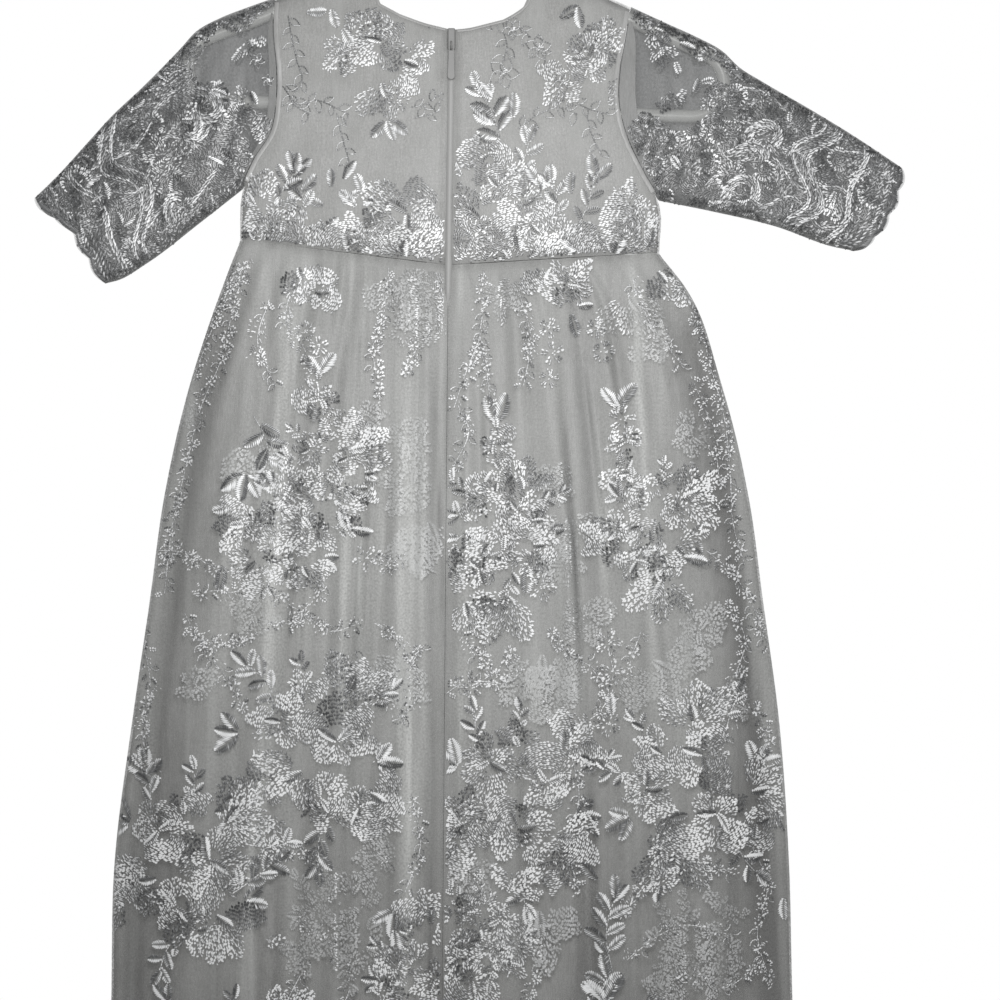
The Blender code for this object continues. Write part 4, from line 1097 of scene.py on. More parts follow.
def relief(out, outline):
    """A surface read back from a grid of its heights over an outline, bilinear between its points."""
    low = outline.min(0) - 3 * RELIEF_STEP
    count = ((outline.max(0) - low) / RELIEF_STEP).astype(int) + 4
    lines = [low[n] + RELIEF_STEP * np.arange(count[n]) for n in (0, 1)]
    height = out(*np.meshgrid(*lines, indexing="ij"))

    def read(x, down):
        i, j = (x - low[0]) / RELIEF_STEP, (down - low[1]) / RELIEF_STEP
        i0 = np.clip(i.astype(int), 0, count[0] - 2)
        j0 = np.clip(j.astype(int), 0, count[1] - 2)
        u, v = i - i0, j - j0
        near = height[i0, j0] * (1 - u) + height[i0 + 1, j0] * u
        far = height[i0, j0 + 1] * (1 - u) + height[i0 + 1, j0 + 1] * u
        return near * (1 - v) + far * v

    return read


def clipped(rows, outline):
    """The stitches whose two ends lie within the outline."""
    keep = within(rows[:, 0], rows[:, 1], outline) & within(rows[:, 2], rows[:, 3], outline)
    return rows[keep]


def body_outline(part, facing, skirt):
    """The outline of a panel, as a closed line of (x, down), a little inside its edges."""
    place, _ = body_panel(part, TULLE_RADIUS, skirt)
    share = np.linspace(0.0, 1.0, 60)
    top, foot = panel_ends(place, share, facing, skirt)
    top, foot = (top + 0.6, foot - 1.0) if skirt else (top + 1.5, foot - 0.6)
    t = np.linspace(0.0, 1.0, 60)
    sides = []
    for end, inward in ((0, 0.7), (-1, -0.7)):
        down = top[end] + (foot[end] - top[end]) * t
        sides.append(np.column_stack([place(down, share[end]) + inward, down]))
    upper = np.column_stack([place(top, share), top])
    lower = np.column_stack([place(foot, share), foot])
    return np.concatenate([upper, sides[1], lower[::-1], sides[0][::-1]])


def sleeve_outline(side):
    """The outline of a sleeve, a little inside its edges."""
    t = np.linspace(0.004, 0.996, 60)
    low, high = np.full(60, 0.006), np.full(60, 0.997)
    lines = [(t, low), (high, t), (t[::-1], high), (low, t[::-1])]
    return np.concatenate([sleeve_plane(side, s, v) for s, v in lines])


# Places of the motifs on the back, in millimetres: kind, x, down, size and turn in degrees, from
# +x towards down. A sixth value sinks the motif behind the net of a fold.
BODICE_BACK_LEFT = (
    ("shell", -58, 120, 20, 150),
    ("shell", -30, 126, 20, 30),
    ("blossom", -52, 106, 30, 0),
    ("blossom", -42, 116, 40, 0),
    ("leaf", -84, 99, 12, 5),
    ("leaf", -70, 97, 12, 80),
    ("leaf", -64, 108, 13, 60),
    ("leaf", -68, 124, 13, 320),
    ("shell", -42, 138, 22, 75),
    ("floret", -33, 148, 14, 0),
    ("trefoil", -39, 159, 14, 86),
    ("leaf", -20, 98, 12, 60),
    ("leaf", -12, 104, 9, 40),
    ("leaf", -70, 196, 11, 268),
    ("leaf", -63, 192, 13, 292),
    ("leaf", -74, 206, 11, 200),
    ("leaf", -64, 205, 12, 330),
    ("sprig", -86, 218, 40, 262),
    ("sprig", -100, 216, 38, 290),
    ("shell", -112, 206, 22, 250),
    ("blossom", -96, 214, 30, 0),
    ("blossom", -111, 226, 28, 0),
    ("shell", -84, 236, 26, 250),
    ("leaf", -74, 222, 13, 300),
    ("shell", -60, 232, 28, 262),
    ("leaf", -56, 207, 14, 225),
    ("leaf", -52, 200, 13, 250),
    ("shell", -12, 232, 30, 262),
    ("blossom", -48, 222, 34, 0),
    ("blossom", -28, 210, 48, 0),
    ("shell", -30, 236, 26, 270),
)
BODICE_BACK_RIGHT = (
    ("shell", 62, 132, 22, 130),
    ("blossom", 82, 114, 32, 0),
    ("blossom", 72, 124, 34, 0),
    ("shell", 90, 132, 20, 60),
    ("leaf", 56, 103, 14, 325),
    ("leaf", 66, 96, 13, 82),
    ("open_floret", 44, 119, 15, 0),
    ("open_floret", 25, 133, 18, 0),
    ("open_floret", 30, 109, 12, 0),
    ("open_floret", 58, 138, 12, 0),
    ("sprig", 24, 176, 44, 250),
    ("leaf", 10, 137, 14, 55),
    ("leaf", 8, 152, 15, 25),
    ("leaf", 30, 158, 15, 285),
    ("blossom", 16, 178, 30, 0),
    ("sprig", 30, 196, 34, 290),
    ("shell", 2, 190, 24, 240),
    ("blossom", 22, 196, 34, 0),
    ("shell", 34, 206, 22, 330),
    ("pair", 46, 196, 15, 270),
    ("sprig", 52, 220, 34, 270),
    ("leaf", 62, 200, 13, 262),
    ("sprig", 66, 218, 30, 290),
    ("pair", 76, 192, 15, 285),
    ("blossom", 94, 204, 30, 0),
    ("shell", 12, 214, 26, 200),
    ("blossom", 8, 224, 30, 0),
    ("shell", 34, 232, 30, 262),
    ("blossom", 40, 216, 28, 0),
    ("shell", 60, 234, 26, 265),
    ("leaf", 68, 232, 15, 215),
    ("shell", 86, 234, 34, 268),
    ("shell", 104, 230, 26, 262),
)
SKIRT_BACK_LEFT = (
    ("blossom", -79, 254, 30, 0),
    ("shell", -88, 240, 18, 80),
    ("floret", -84, 276, 14, 0),
    ("floret", -76, 284, 11, 0),
    ("pair", -76, 300, 15, 272),
    ("blossom", -75, 313, 30, 0),
    ("group", -72, 350, 52, 0),
    ("shell", -60, 342, 24, 335),
    ("sprig", -112, 322, 40, 78),
    ("trefoil", -116, 354, 16, 110),
    ("leaf", -122, 370, 14, 150),
    ("group", -92, 380, 62, 40),
    ("leaf", -64, 372, 15, 80),
    ("leaf", -58, 384, 13, 20),
    ("leaf", -128, 404, 15, 100),
    ("floret", -50, 400, 15, 0),
    ("floret", -38, 404, 12, 0),
    ("shell", -110, 402, 20, 150),
    ("floret", -146, 402, 11, 0),
    ("group", -81, 506, 96, 0),
    ("trefoil", -172, 520, 17, 262),
    ("group", -154, 566, 94, 20),
    ("sprig", -122, 582, 36, 322),
    ("trefoil", -34, 590, 15, 100),
    ("leaf", -34, 600, 15, 85),
    ("pair", -36, 632, 15, 270),
    ("sprig", -40, 660, 34, 265),
    ("group", -22, 634, 60, 0),
    ("shell", -14, 598, 22, 250),
    ("group", -120, 690, 96, 0),
    ("group", -50, 745, 94, 30),
    ("group", -158, 772, 84, 300),
    # behind the net of a fold
    ("blossom", -24, 250, 34, 0, -0.6),
    ("shell", -36, 246, 22, 80, -0.6),
    ("shell", -14, 262, 24, 100, -0.6),
    ("floret", -30, 276, 16, 0, -0.6),
    ("blossom", -27, 336, 28, 0, -0.9),
    ("blossom", -24, 360, 36, 0, -0.9),
    ("shell", -16, 380, 30, 90, -0.9),
    ("blossom", -22, 396, 36, 0, -0.9),
    ("shell", -108, 338, 26, 80, -0.7),
    ("blossom", -112, 430, 34, 0, -0.7),
    ("blossom", -150, 320, 24, 0, -0.7),
    ("blossom", -48, 322, 22, 0, -0.7),
    ("shell", -52, 452, 30, 90, -0.7),
    ("blossom", -28, 470, 30, 0, -0.7),
    ("blossom", -144, 470, 28, 0, -0.7),
    ("blossom", -44, 560, 30, 0, -0.7),
    ("group", -68, 600, 50, 0, -0.7),
)
SKIRT_BACK_RIGHT = (
    ("shell", 52, 240, 22, 80),
    ("blossom", 60, 250, 30, 0),
    ("leaf", 62, 266, 14, 68),
    ("leaf", 66, 262, 9, 355),
    ("floret", 50, 274, 13, 0),
    ("floret", 52, 288, 15, 0),
    ("floret", 50, 302, 12, 0),
    ("floret", 76, 274, 13, 0),
    ("floret", 80, 287, 14, 0),
    ("shell", 110, 242, 20, 60),
    ("blossom", 126, 250, 24, 0),
    ("blossom", 134, 272, 22, 0),
    ("pair", 21, 326, 17, 270),
    ("blossom", 20, 338, 26, 0),
    ("shell", 20, 352, 22, 90),
    ("group", 22, 382, 62, 0),
    ("blossom", 40, 380, 28, 0),
    ("blossom", 12, 406, 30, 0),
    ("shell", 26, 420, 26, 110),
    ("leaf", 38, 404, 16, 88),
    ("floret", 46, 416, 16, 0),
    ("shell", 4, 424, 20, 60),
    ("pair", 87, 318, 17, 270),
    ("floret", 90, 324, 15, 0),
    ("blossom", 92, 336, 24, 0),
    ("shell", 92, 350, 20, 100),
    ("group", 106, 378, 58, 20),
    ("shell", 122, 368, 24, 340),
    ("blossom", 98, 402, 28, 0),
    ("shell", 112, 412, 26, 100),
    ("leaf", 124, 400, 14, 10),
    ("floret", 82, 446, 15, 0),
    ("floret", 84, 462, 14, 0),
    ("floret", 20, 466, 15, 0),
    ("floret", 8, 470, 12, 0),
    ("floret", 82, 490, 15, 0),
    ("group", 30, 528, 88, 10),
    ("group", 124, 528, 92, 330),
    ("leaf", 84, 486, 14, 262),
    ("sprig", 84, 624, 52, 272),
    ("sprig", 86, 660, 44, 262),
    ("leaf", 76, 574, 13, 215),
    ("pair", 80, 640, 18, 265),
    ("leaf", 176, 540, 13, 60),
    ("leaf", 180, 588, 13, 100),
    ("floret", 112, 576, 15, 0),
    ("blossom", 8, 628, 44, 0),
    ("group", 14, 600, 52, 0),
    ("group", 96, 700, 96, 0),
    ("group", 20, 750, 92, 60),
    ("group", 160, 756, 88, 200),
    # behind the net of a fold
    ("blossom", 24, 256, 26, 0, -0.6),
    ("shell", 94, 256, 26, 90, -0.6),
    ("blossom", 108, 282, 28, 0, -0.7),
    ("blossom", 52, 362, 28, 0, -0.7),
    ("shell", 60, 376, 26, 90, -0.7),
    ("blossom", 58, 404, 34, 0, -0.7),
    ("blossom", 68, 432, 32, 0, -0.7),
    ("shell", 46, 452, 32, 90, -0.7),
    ("blossom", 50, 470, 36, 0, -0.7),
    ("blossom", 128, 334, 30, 0, -0.7),
    ("blossom", 132, 440, 34, 0, -0.7),
    ("shell", 106, 456, 30, 60, -0.7),
    ("blossom", 150, 480, 28, 0, -0.7),
    ("blossom", 6, 570, 30, 0, -0.7),
    ("shell", 44, 590, 34, 80, -0.7),
    ("group", 128, 610, 52, 0, -0.7),
)
# The routes of the running vines: points of (x, down).
VINES_BODICE_LEFT = (
    ((-94, 101), (-92, 112), (-89, 126), (-86, 138), (-92, 148), (-82, 156)),
    ((-97, 140), (-88, 150), (-78, 148), (-68, 152), (-60, 156)),
    ((-67, 155), (-64, 168), (-60, 182)),
    ((-26, 152), (-17, 150), (-9, 144)),
    ((-24, 158), (-16, 156), (-10, 154)),
)
VINES_BODICE_RIGHT = (
    ((8, 108), (22, 104), (34, 108), (46, 122), (52, 136), (60, 146), (70, 152), (84, 156)),
    ((33, 164), (44, 156), (56, 152), (66, 156)),
    ((71, 157), (74, 168), (79, 178)),
    ((24, 108), (27, 118), (25, 126)),
)
VINES_SKIRT_LEFT = (
    ((-116, 236), (-124, 262), (-130, 290), (-142, 318), (-150, 350), (-158, 384), (-162, 420)),
    ((-122, 240), (-136, 274), (-146, 300)),
    ((-92, 250), (-94, 272), (-84, 286), (-80, 298)),
    ((-104, 258), (-110, 282), (-100, 306)),
    ((-38, 240), (-40, 262), (-46, 290), (-42, 310)),
    ((-12, 244), (-8, 262), (-20, 280), (-28, 300)),
    ((-46, 398), (-34, 402), (-22, 398)),
    ((-170, 396), (-148, 398), (-130, 408)),
    ((-126, 402), (-104, 418), (-84, 430), (-70, 440), (-54, 436)),
    ((-143, 445), (-128, 447), (-118, 445), (-111, 439), (-98, 435), (-89, 436), (-81, 429)),
    ((-145, 420), (-130, 418), (-123, 419), (-113, 413), (-103, 405)),
    ((-81, 407), (-74, 415), (-77, 424)),
    ((-52, 477), (-42, 471), (-36, 463), (-25, 457), (-20, 447)),
    ((-150, 430), (-140, 448), (-126, 466), (-116, 482)),
    ((-176, 440), (-170, 470), (-174, 500), (-168, 524)),
    ((-44, 436), (-30, 448), (-24, 470), (-30, 490)),
    ((-56, 450), (-48, 470), (-34, 478), (-22, 476)),
    ((-44, 500), (-36, 524), (-42, 548), (-38, 566)),
    ((-124, 580), (-112, 566), (-92, 560), (-74, 566), (-66, 584)),
    ((-88, 596), (-70, 608), (-58, 630), (-66, 650)),
    ((-104, 606), (-84, 618), (-92, 640)),
    ((-24, 530), (-20, 556), (-28, 580)),
)
VINES_SKIRT_RIGHT = (
    ((14, 242), (14, 262), (12, 282), (16, 300), (18, 316)),
    ((12, 280), (4, 300), (-2, 318)),
    ((2, 318), (6, 330), (-2, 350)),
    ((34, 256), (40, 280), (36, 306)),
    ((96, 246), (102, 264), (112, 280), (124, 296)),
    ((122, 244), (134, 262), (138, 290), (146, 318), (150, 350), (152, 384), (158, 404)),
    ((128, 300), (140, 330), (144, 360)),
    ((2, 440), (14, 456), (28, 466), (40, 462)),
    ((-9, 476), (3, 468), (15, 467), (26, 468), (32, 461), (27, 452)),
    ((50, 440), (60, 452), (74, 460), (84, 476)),
    ((44, 478), (58, 492), (74, 486), (84, 474)),
    ((136, 396), (152, 410), (164, 430), (172, 450)),
    ((148, 424), (158, 446), (152, 468), (160, 486)),
    ((156, 461), (154, 474), (149, 486), (146, 500)),
    ((164, 480), (170, 500), (166, 524)),
    ((100, 440), (94, 460), (104, 478)),
    ((88, 596), (100, 580), (116, 572), (134, 566), (150, 572)),
    ((92, 618), (108, 606), (126, 600), (150, 606)),
    ((104, 640), (124, 628), (146, 634), (166, 622)),
    ((160, 556), (170, 580), (164, 606), (172, 634)),
    ((34, 596), (44, 616), (38, 640)),
    ((60, 500), (66, 530), (60, 556), (66, 580)),
)


def vines(routes, seed, kind):
    """Every vine of a list of routes."""
    return np.concatenate([kind(route, np.random.default_rng([seed, n])) for n, route in enumerate(routes)])


def mirrored(rows):
    """The stitches mirrored left to right about the gown's middle."""
    made = rows.copy()
    made[:, [0, 2]] = 2 * CENTRE - rows[:, [0, 2]]
    return made


def waist_band(part, facing, seed):
    """Half flowers that fill the strip over a bodice panel's waist, and under some a line of dark stitches as
    a painted shadow along the seam.
    """
    dice = np.random.default_rng(seed)
    low, high = WAIST_STRETCH[part]
    made = np.empty((0, 7))
    for x in np.arange(low + 4, high, 12.0):
        x = x + dice.uniform(-3, 3)
        down = waist_at(x, facing) - 1.0
        made = laid_over(made, placed(shell(dice.uniform(13, 19), dice), x, down, dice.uniform(245, 295)))
    if part == "right":
        return made
    # painted shadow: a line of dark running stitches along the waist seam
    x = np.arange(*PAINTED_SEAM_SHADOW, 3.0)
    line = np.column_stack([x, waist_at(x, facing) - 1.0])
    return laid_over(made, run_line(line, 2.2, 1.2, 0.5, 0.25, slant=0.2))


def ribbon(points, half, dice, tone):
    """A band of stitches: rows beside each other along a smooth line, brightest at its edges.

    A narrow band is a smooth cord, and a wide one is uneven: its rows and stitches lie askew.
    """
    loose = min(1.0, 0.25 + half / 4)
    p = along(points, np.linspace(0.0, 1.0, 24))
    way = np.gradient(p, axis=0)
    side = np.stack([-way[:, 1], way[:, 0]], axis=1) / np.hypot(*way.T)[:, None]
    parts = []
    for offset in np.arange(-half, half + 0.1, ROW):
        bright = tone * (0.55 + 0.45 * abs(offset) / half) * dice.uniform(0.85, 1.1)
        pitch = STITCH * dice.uniform(0.9, 1.2)
        row = run_line(p + offset * side, pitch, FILL_WIDTH, 0.5, bright, slant=0.3 * loose)
        moved = np.tile(dice.normal(0.0, 0.35, (len(row), 2)), 2)
        row[:, :4] += loose * (moved + dice.normal(0.0, 0.15, (len(row), 4)))
        row[:, 6] *= dice.uniform(0.7, 1.2, len(row))
        parts.append(row)
    return np.concatenate(parts)


def cuff_work(side, dice):
    """The cuff's dark scalloped edge, three rows of slanted stitches, a wavy band and a narrow one."""
    outward = ARMHOLES[side][2]
    v = np.linspace(0.01, 0.99, 80)
    edge = sleeve_plane(side, np.full(80, 0.996), v)
    inner = sleeve_plane(side, np.full(80, 0.975), v + 0.008)
    parts = [stitch_rows(edge[:, 0], edge[:, 1], inner[:, 0], inner[:, 1], 1.2, 0.5, 0.3)]
    t = np.linspace(0.02, 0.98, 30)
    for n, level in enumerate((0.955, 0.93, 0.905)):
        line = sleeve_plane(side, level + 0.004 * n * np.sin(9 * t), t)
        parts.append(run_line(line, 2.6, 1.5, 0.5, 0.9 - 0.2 * n, slant=0.35))
    wave = CUFF_WAVE * np.sin(2 * np.pi * 1.6 * t + outward)
    made = np.concatenate(parts)
    for offset, half, tone in ((0.0, 3.0, 0.7), (-CUFF_BAND_HALF, 0.9, 1.3), (CUFF_BAND_HALF, 0.9, 1.3)):
        line = sleeve_plane(side, CUFF_BAND + offset + wave, t)
        made = laid_over(made, ribbon(line, half, dice, tone))
    return laid_over(made, ribbon(sleeve_plane(side, 0.85 + 0.012 * np.sin(11 * t), t), 1.3, dice, 1.4))


def cords(side, dice):
    """Thick bright threads that wander down the sleeve towards its cuff."""
    parts = []
    for n in range(CORDS):
        s = np.linspace(dice.uniform(0.2, 0.4), 0.86, 14)
        swing = dice.uniform(0.05, 0.09) * np.sin(s * dice.uniform(14, 24) + dice.uniform(0, 6))
        line = sleeve_plane(side, s, (n + dice.uniform(0.3, 0.7)) / CORDS + swing)
        parts.append(ribbon(line, 1.0, dice, 1.1))
    return np.concatenate(parts)


def curl(size, dice):
    """A C-shaped band of stitches around a dark middle with a few threads that ray out in it."""
    a = np.radians(np.linspace(50, dice.uniform(200, 260), 12))
    loop = np.column_stack([size / 2 * np.cos(a), size / 2.6 * np.sin(a)])
    inner = fan(size * 0.4, 80.0, dice, 0.3, start=0.3)
    return laid_over(placed(inner, size * 0.05, 0, 180), ribbon(loop, 2.2, dice, 1.25))


def sleeve_work(side, facing):
    """A sleeve's embroidery: flowers close over each other, which end short of the armhole."""
    seed = SEED + {"left": 40, "right": 60}[side] + facing
    dice = np.random.default_rng(seed)
    outline = sleeve_outline(side)
    base = scatter(outline, (("blossom", 34), ("blossom", 28), ("shell", 22), ("shell", 26)), 10.0, seed)
    base[:, 6] *= SLEEVE_GROUND
    made = laid_over(base, cords(side, dice))
    large = ("rosette", 19), ("shell", 15), ("rosette", 14)
    small = ("floret", 11), ("leaf", 11), ("shell", 12), ("pair", 9)
    made = laid_over(made, scatter(outline, large + small, 14.0, seed + 1))
    for _ in range(CURLS):
        s, v = dice.uniform(0.3, 0.6), dice.uniform(0.15, 0.85)
        x, down = sleeve_plane(side, np.array(s), np.array(v))
        made = laid_over(made, placed(curl(dice.uniform(14, 21), dice), x, down, dice.uniform(0, 360)))
    made = clipped(laid_over(made, cuff_work(side, dice)), outline)
    middle = (made[:, 0] + made[:, 2]) / 2, (made[:, 1] + made[:, 3]) / 2
    share = sleeve_share(*middle)
    across = from_edge(*middle)
    edge = BARE_SHARE[side] + 0.05 * np.sin(middle[1] / 4.0) + 0.04 * np.sin(middle[0] / 2.9)
    low = middle[1] > BARE_FOOT[side] + 5 * np.sin(middle[0] / 6.0)
    bare = (share < edge) & (across > 10.0 + 3 * np.sin(middle[0] / 4.0)) & ~low
    return clipped(laid_over(made[~bare], arrange(SLEEVE_SPRAYS[side], seed + 2)), outline)


# Motifs on the bare part of a sleeve's net: kind, x, down, size and turn.
SLEEVE_SPRAYS = {
    "left": (
        ("shell", -116, 114, 11, 70),
        ("leaf", -120, 120, 8, 120),
        ("open_floret", -111, 126, 9, 0),
        ("open_floret", -105, 137, 7, 0),
        ("shell", -117, 149, 11, 200),
        ("leaf", -111, 151, 9, 250),
    ),
    "right": (
        ("shell", 108, 108, 13, 40),
        ("shell", 112, 118, 12, 80),
        ("leaf", 122, 116, 10, 20),
        ("leaf", 120, 126, 8, 75),
        ("shell", 122, 152, 13, 240),
        ("leaf", 130, 144, 9, 300),
        ("leaf", 134, 138, 8, 340),
        ("floret", 138, 150, 10, 0),
        ("leaf", 108, 158, 9, 200),
    ),
}


def body_work(part, facing, skirt):
    """The embroidery of a panel of the bodice or the skirt; the front's is the back's, mirrored."""
    if part == "left":
        tables = (SKIRT_BACK_LEFT, VINES_SKIRT_LEFT) if skirt else (BODICE_BACK_LEFT, VINES_BODICE_LEFT)
    elif part == "right":
        tables = (SKIRT_BACK_RIGHT, VINES_SKIRT_RIGHT) if skirt else (BODICE_BACK_RIGHT, VINES_BODICE_RIGHT)
    elif skirt:
        tables = (SKIRT_BACK_LEFT + SKIRT_BACK_RIGHT, VINES_SKIRT_LEFT + VINES_SKIRT_RIGHT)
    else:
        tables = (BODICE_BACK_LEFT + BODICE_BACK_RIGHT, VINES_BODICE_LEFT + VINES_BODICE_RIGHT)
    seed = SEED + {"left": 100, "right": 200, "whole": 300}[part] + 10 * skirt
    made = vines(tables[1], seed + 1, vine if skirt else outline_vine)
    if not skirt:
        made = laid_over(made, waist_band(part, facing, seed + 2))
    made = laid_over(made, arrange(tables[0], seed))
    made[:, 6] *= SKIRT_TONE if skirt else BODICE_TONE
    return mirrored(made) if part == "whole" else made


# --------------------------------------------------------------------------------- materials


def colour(code):
    """A hex colour, as sRGB, turned to the linear values that shaders use."""
    value = np.array([int(code[i : i + 2], 16) for i in (0, 2, 4)]) / 255.0
    linear = np.where(value <= 0.04045, value / 12.92, ((value + 0.055) / 1.055) ** 2.4)
    return (*linear.tolist(), 1.0)


def add_node(tree, kind, inputs=(), **settings):
    """A node with its settings, and its inputs as values or as the outputs that feed them."""
    made = tree.nodes.new(kind)
    for name, value in settings.items():
        setattr(made, name, value)
    for name, value in dict(inputs).items():
        if isinstance(value, bpy.types.NodeSocket):
            tree.links.new(value, made.inputs[name])
        else:
            made.inputs[name].default_value = value
    return made


def new_material(name):
    """An empty material with a Principled shader on its output, and Object coordinates in mm."""
    made = bpy.data.materials.new(name)
    made.use_nodes = True
    tree = made.node_tree
    shader = tree.nodes["Principled BSDF"]
    place = add_node(tree, "ShaderNodeTexCoord").outputs["Object"]
    scaled = add_node(
        tree, "ShaderNodeVectorMath", {0: place, 1: (1000.0, 1000.0, 1000.0)}, operation="MULTIPLY"
    )
    return made, tree, shader, scaled.outputs["Vector"]


def satin_weave(name, dark, light):
    """Polyester satin, woven with long floats: a soft lustre, fine upright threads, pale silver."""
    made, tree, shader, place = new_material(name)
    stretched = add_node(tree, "ShaderNodeMapping", {"Vector": place, "Scale": (1.1, 1.1, 0.12)})
    thread = add_node(
        tree, "ShaderNodeTexNoise", {"Vector": stretched.outputs[0], "Scale": 1.4, "Detail": 2.0}
    )
    cloud = add_node(
        tree, "ShaderNodeTexNoise", {"Vector": place, "Scale": 0.045, "Detail": 5.0, "Roughness": 0.65}
    )
    both = add_node(
        tree, "ShaderNodeMath", {0: thread.outputs["Fac"], 1: cloud.outputs["Fac"]}, operation="ADD"
    )
    share = add_node(
        tree, "ShaderNodeMapRange", {"Value": both.outputs[0], "From Min": 0.75, "From Max": 1.25}
    )
    mix = add_node(tree, "ShaderNodeMix", {"Factor": share.outputs[0]}, data_type="RGBA")
    mix.inputs["A"].default_value = colour(dark)
    mix.inputs["B"].default_value = colour(light)
    bump = add_node(
        tree, "ShaderNodeBump", {"Height": thread.outputs["Fac"], "Strength": 0.35, "Distance": 0.0004}
    )
    tree.links.new(mix.outputs["Result"], shader.inputs["Base Color"])
    tree.links.new(bump.outputs[0], shader.inputs["Normal"])
    shader.inputs["Roughness"].default_value = 0.42
    shader.inputs["Sheen Weight"].default_value = 0.15
    shader.inputs["Sheen Roughness"].default_value = 0.4
    return made


def net(name, dark, light, grain_share):
    """Fine nylon tulle: a veil of mesh with threads 0.1 mm thick, too fine to show one by one.

    So its holes are drawn as a coarser grain, 1.1 mm wide, with long soft streaks where the net
    is drawn together. The piece's own veil attribute says how much of the light it stops, and pale
    how light it looks where it lies double, and where painted light and shade are laid on it:
    darker in folds that turn away, at the skirt's sides and towards the hem.
    """
    made, tree, shader, place = new_material(name)
    flat = add_node(tree, "ShaderNodeMapping", {"Vector": place, "Scale": (0.9, 0.0, 0.75)})
    holes = add_node(tree, "ShaderNodeTexNoise", {"Vector": flat.outputs[0], "Scale": 1.0, "Detail": 1.0})
    stretched = add_node(tree, "ShaderNodeMapping", {"Vector": place, "Scale": (0.14, 0.05, 0.009)})
    streak = add_node(
        tree, "ShaderNodeTexNoise", {"Vector": stretched.outputs[0], "Scale": 1.0, "Detail": 3.0}
    )
    both = add_node(
        tree, "ShaderNodeMath", {0: holes.outputs["Fac"], 1: streak.outputs["Fac"]}, operation="ADD"
    )
    vary = add_node(
        tree, "ShaderNodeMapRange", {"Value": both.outputs[0], "From Min": 0.7, "From Max": 1.3}
    )
    vary.inputs["To Min"].default_value = 1.0 - grain_share
    vary.inputs["To Max"].default_value = 1.0 + grain_share
    density = add_node(tree, "ShaderNodeAttribute", attribute_name="veil")
    stopped = add_node(
        tree,
        "ShaderNodeMath",
        {0: density.outputs["Fac"], 1: vary.outputs[0]},
        operation="MULTIPLY",
        use_clamp=True,
    )
    # pale carries the doubled net's paleness and painted light and shade
    pale = add_node(tree, "ShaderNodeAttribute", attribute_name="pale")
    light_share = add_node(
        tree,
        "ShaderNodeMath",
        {0: pale.outputs["Fac"], 1: 0.45, 2: streak.outputs["Fac"]},
        operation="MULTIPLY_ADD",
        use_clamp=True,
    )
    mix = add_node(tree, "ShaderNodeMix", {"Factor": light_share.outputs[0]}, data_type="RGBA")
    mix.inputs["A"].default_value = colour(dark)
    mix.inputs["B"].default_value = colour(light)
    tree.links.new(mix.outputs["Result"], shader.inputs["Base Color"])
    tree.links.new(stopped.outputs[0], shader.inputs["Alpha"])
    shader.inputs["Roughness"].default_value = 0.5
    shader.inputs["Sheen Weight"].default_value = 0.3
    shader.inputs["Sheen Roughness"].default_value = 0.5
    return made


def thread_finish():
    """Rayon embroidery thread, machine-stitched: bright glints where it turns to the light, and the painted
    light, shade and glints that its tone attribute carries.
    """
    made, tree, shader, _ = new_material("rayon_embroidery_thread")
    # tone carries each stitch's own tone and its painted light, shade and glints
    tone = add_node(tree, "ShaderNodeAttribute", attribute_name="tone")
    grade = add_node(tree, "ShaderNodeValToRGB", {"Fac": tone.outputs["Fac"]})
    ramp = grade.color_ramp
    ramp.elements[0].position = 0.1
    ramp.elements[0].color = colour("3E3F40")
    ramp.elements[1].position = 1.0
    ramp.elements[1].color = colour("F5F6F7")
    for place, code in ((0.35, "848586"), (0.7, "D3D4D5")):
        ramp.elements.new(place).color = colour(code)
    tree.links.new(grade.outputs["Color"], shader.inputs["Base Color"])
    shader.inputs["Roughness"].default_value = 0.36
    shader.inputs["IOR"].default_value = 1.52
    shader.inputs["Specular IOR Level"].default_value = 0.6
    return made


def plain(name, code, roughness, grain, scale):
    """A smooth finish whose roughness and height vary a little, at that scale per millimetre."""
    made, tree, shader, place = new_material(name)
    noise = add_node(tree, "ShaderNodeTexNoise", {"Vector": place, "Scale": scale, "Detail": 4.0})
    span = {"To Min": roughness - 0.06, "To Max": roughness + 0.06}
    rough = add_node(tree, "ShaderNodeMapRange", {"Value": noise.outputs["Fac"], **span})
    bump = add_node(
        tree, "ShaderNodeBump", {"Height": noise.outputs["Fac"], "Strength": grain, "Distance": 0.0002}
    )
    tree.links.new(rough.outputs[0], shader.inputs["Roughness"])
    tree.links.new(bump.outputs[0], shader.inputs["Normal"])
    shader.inputs["Base Color"].default_value = colour(code)
    return made


# -------------------------------------------------------------------- trims, zip and hanger


TUBE_SIDES = 20  # of the hanger's round tube
NECK_STRETCH = {"left": (-48.0, -7.0), "right": (-0.5, 42.0), "whole": (-48.0, 42.0)}  # in x
SEAM_WIDTH = {"left": 4.0, "right": 9.0}  # of the satin's seam allowance in each sleeve


def tape_strip(name, half, top, foot, lift, bulge, finish):
    """A band down the centre back, whose foot dives behind the satin.

    Its middle is raised by bulge, as a parabola across it.
    """
    t = np.linspace(0.0, 1.0, 60)[:, None] * np.ones(9)
    across = np.linspace(-1.0, 1.0, 9)[None, :] * np.ones_like(t)
    down = top + (foot - top) * t
    x = centre_back(down) + half * across
    inside = from_edge(x, down) - OUTER_ROUND
    out = depth(inside, TULLE_RADIUS, through(BODY_FULLNESS, down)) + lift + bulge * (1 - across**2)
    out = out - ZIP_DIVE * smoothstep(ZIP_FOOT[1] - 2.0, ZIP_FOOT[1] + 8.0, down)
    return grid_piece(name, x, -out, down, finish)


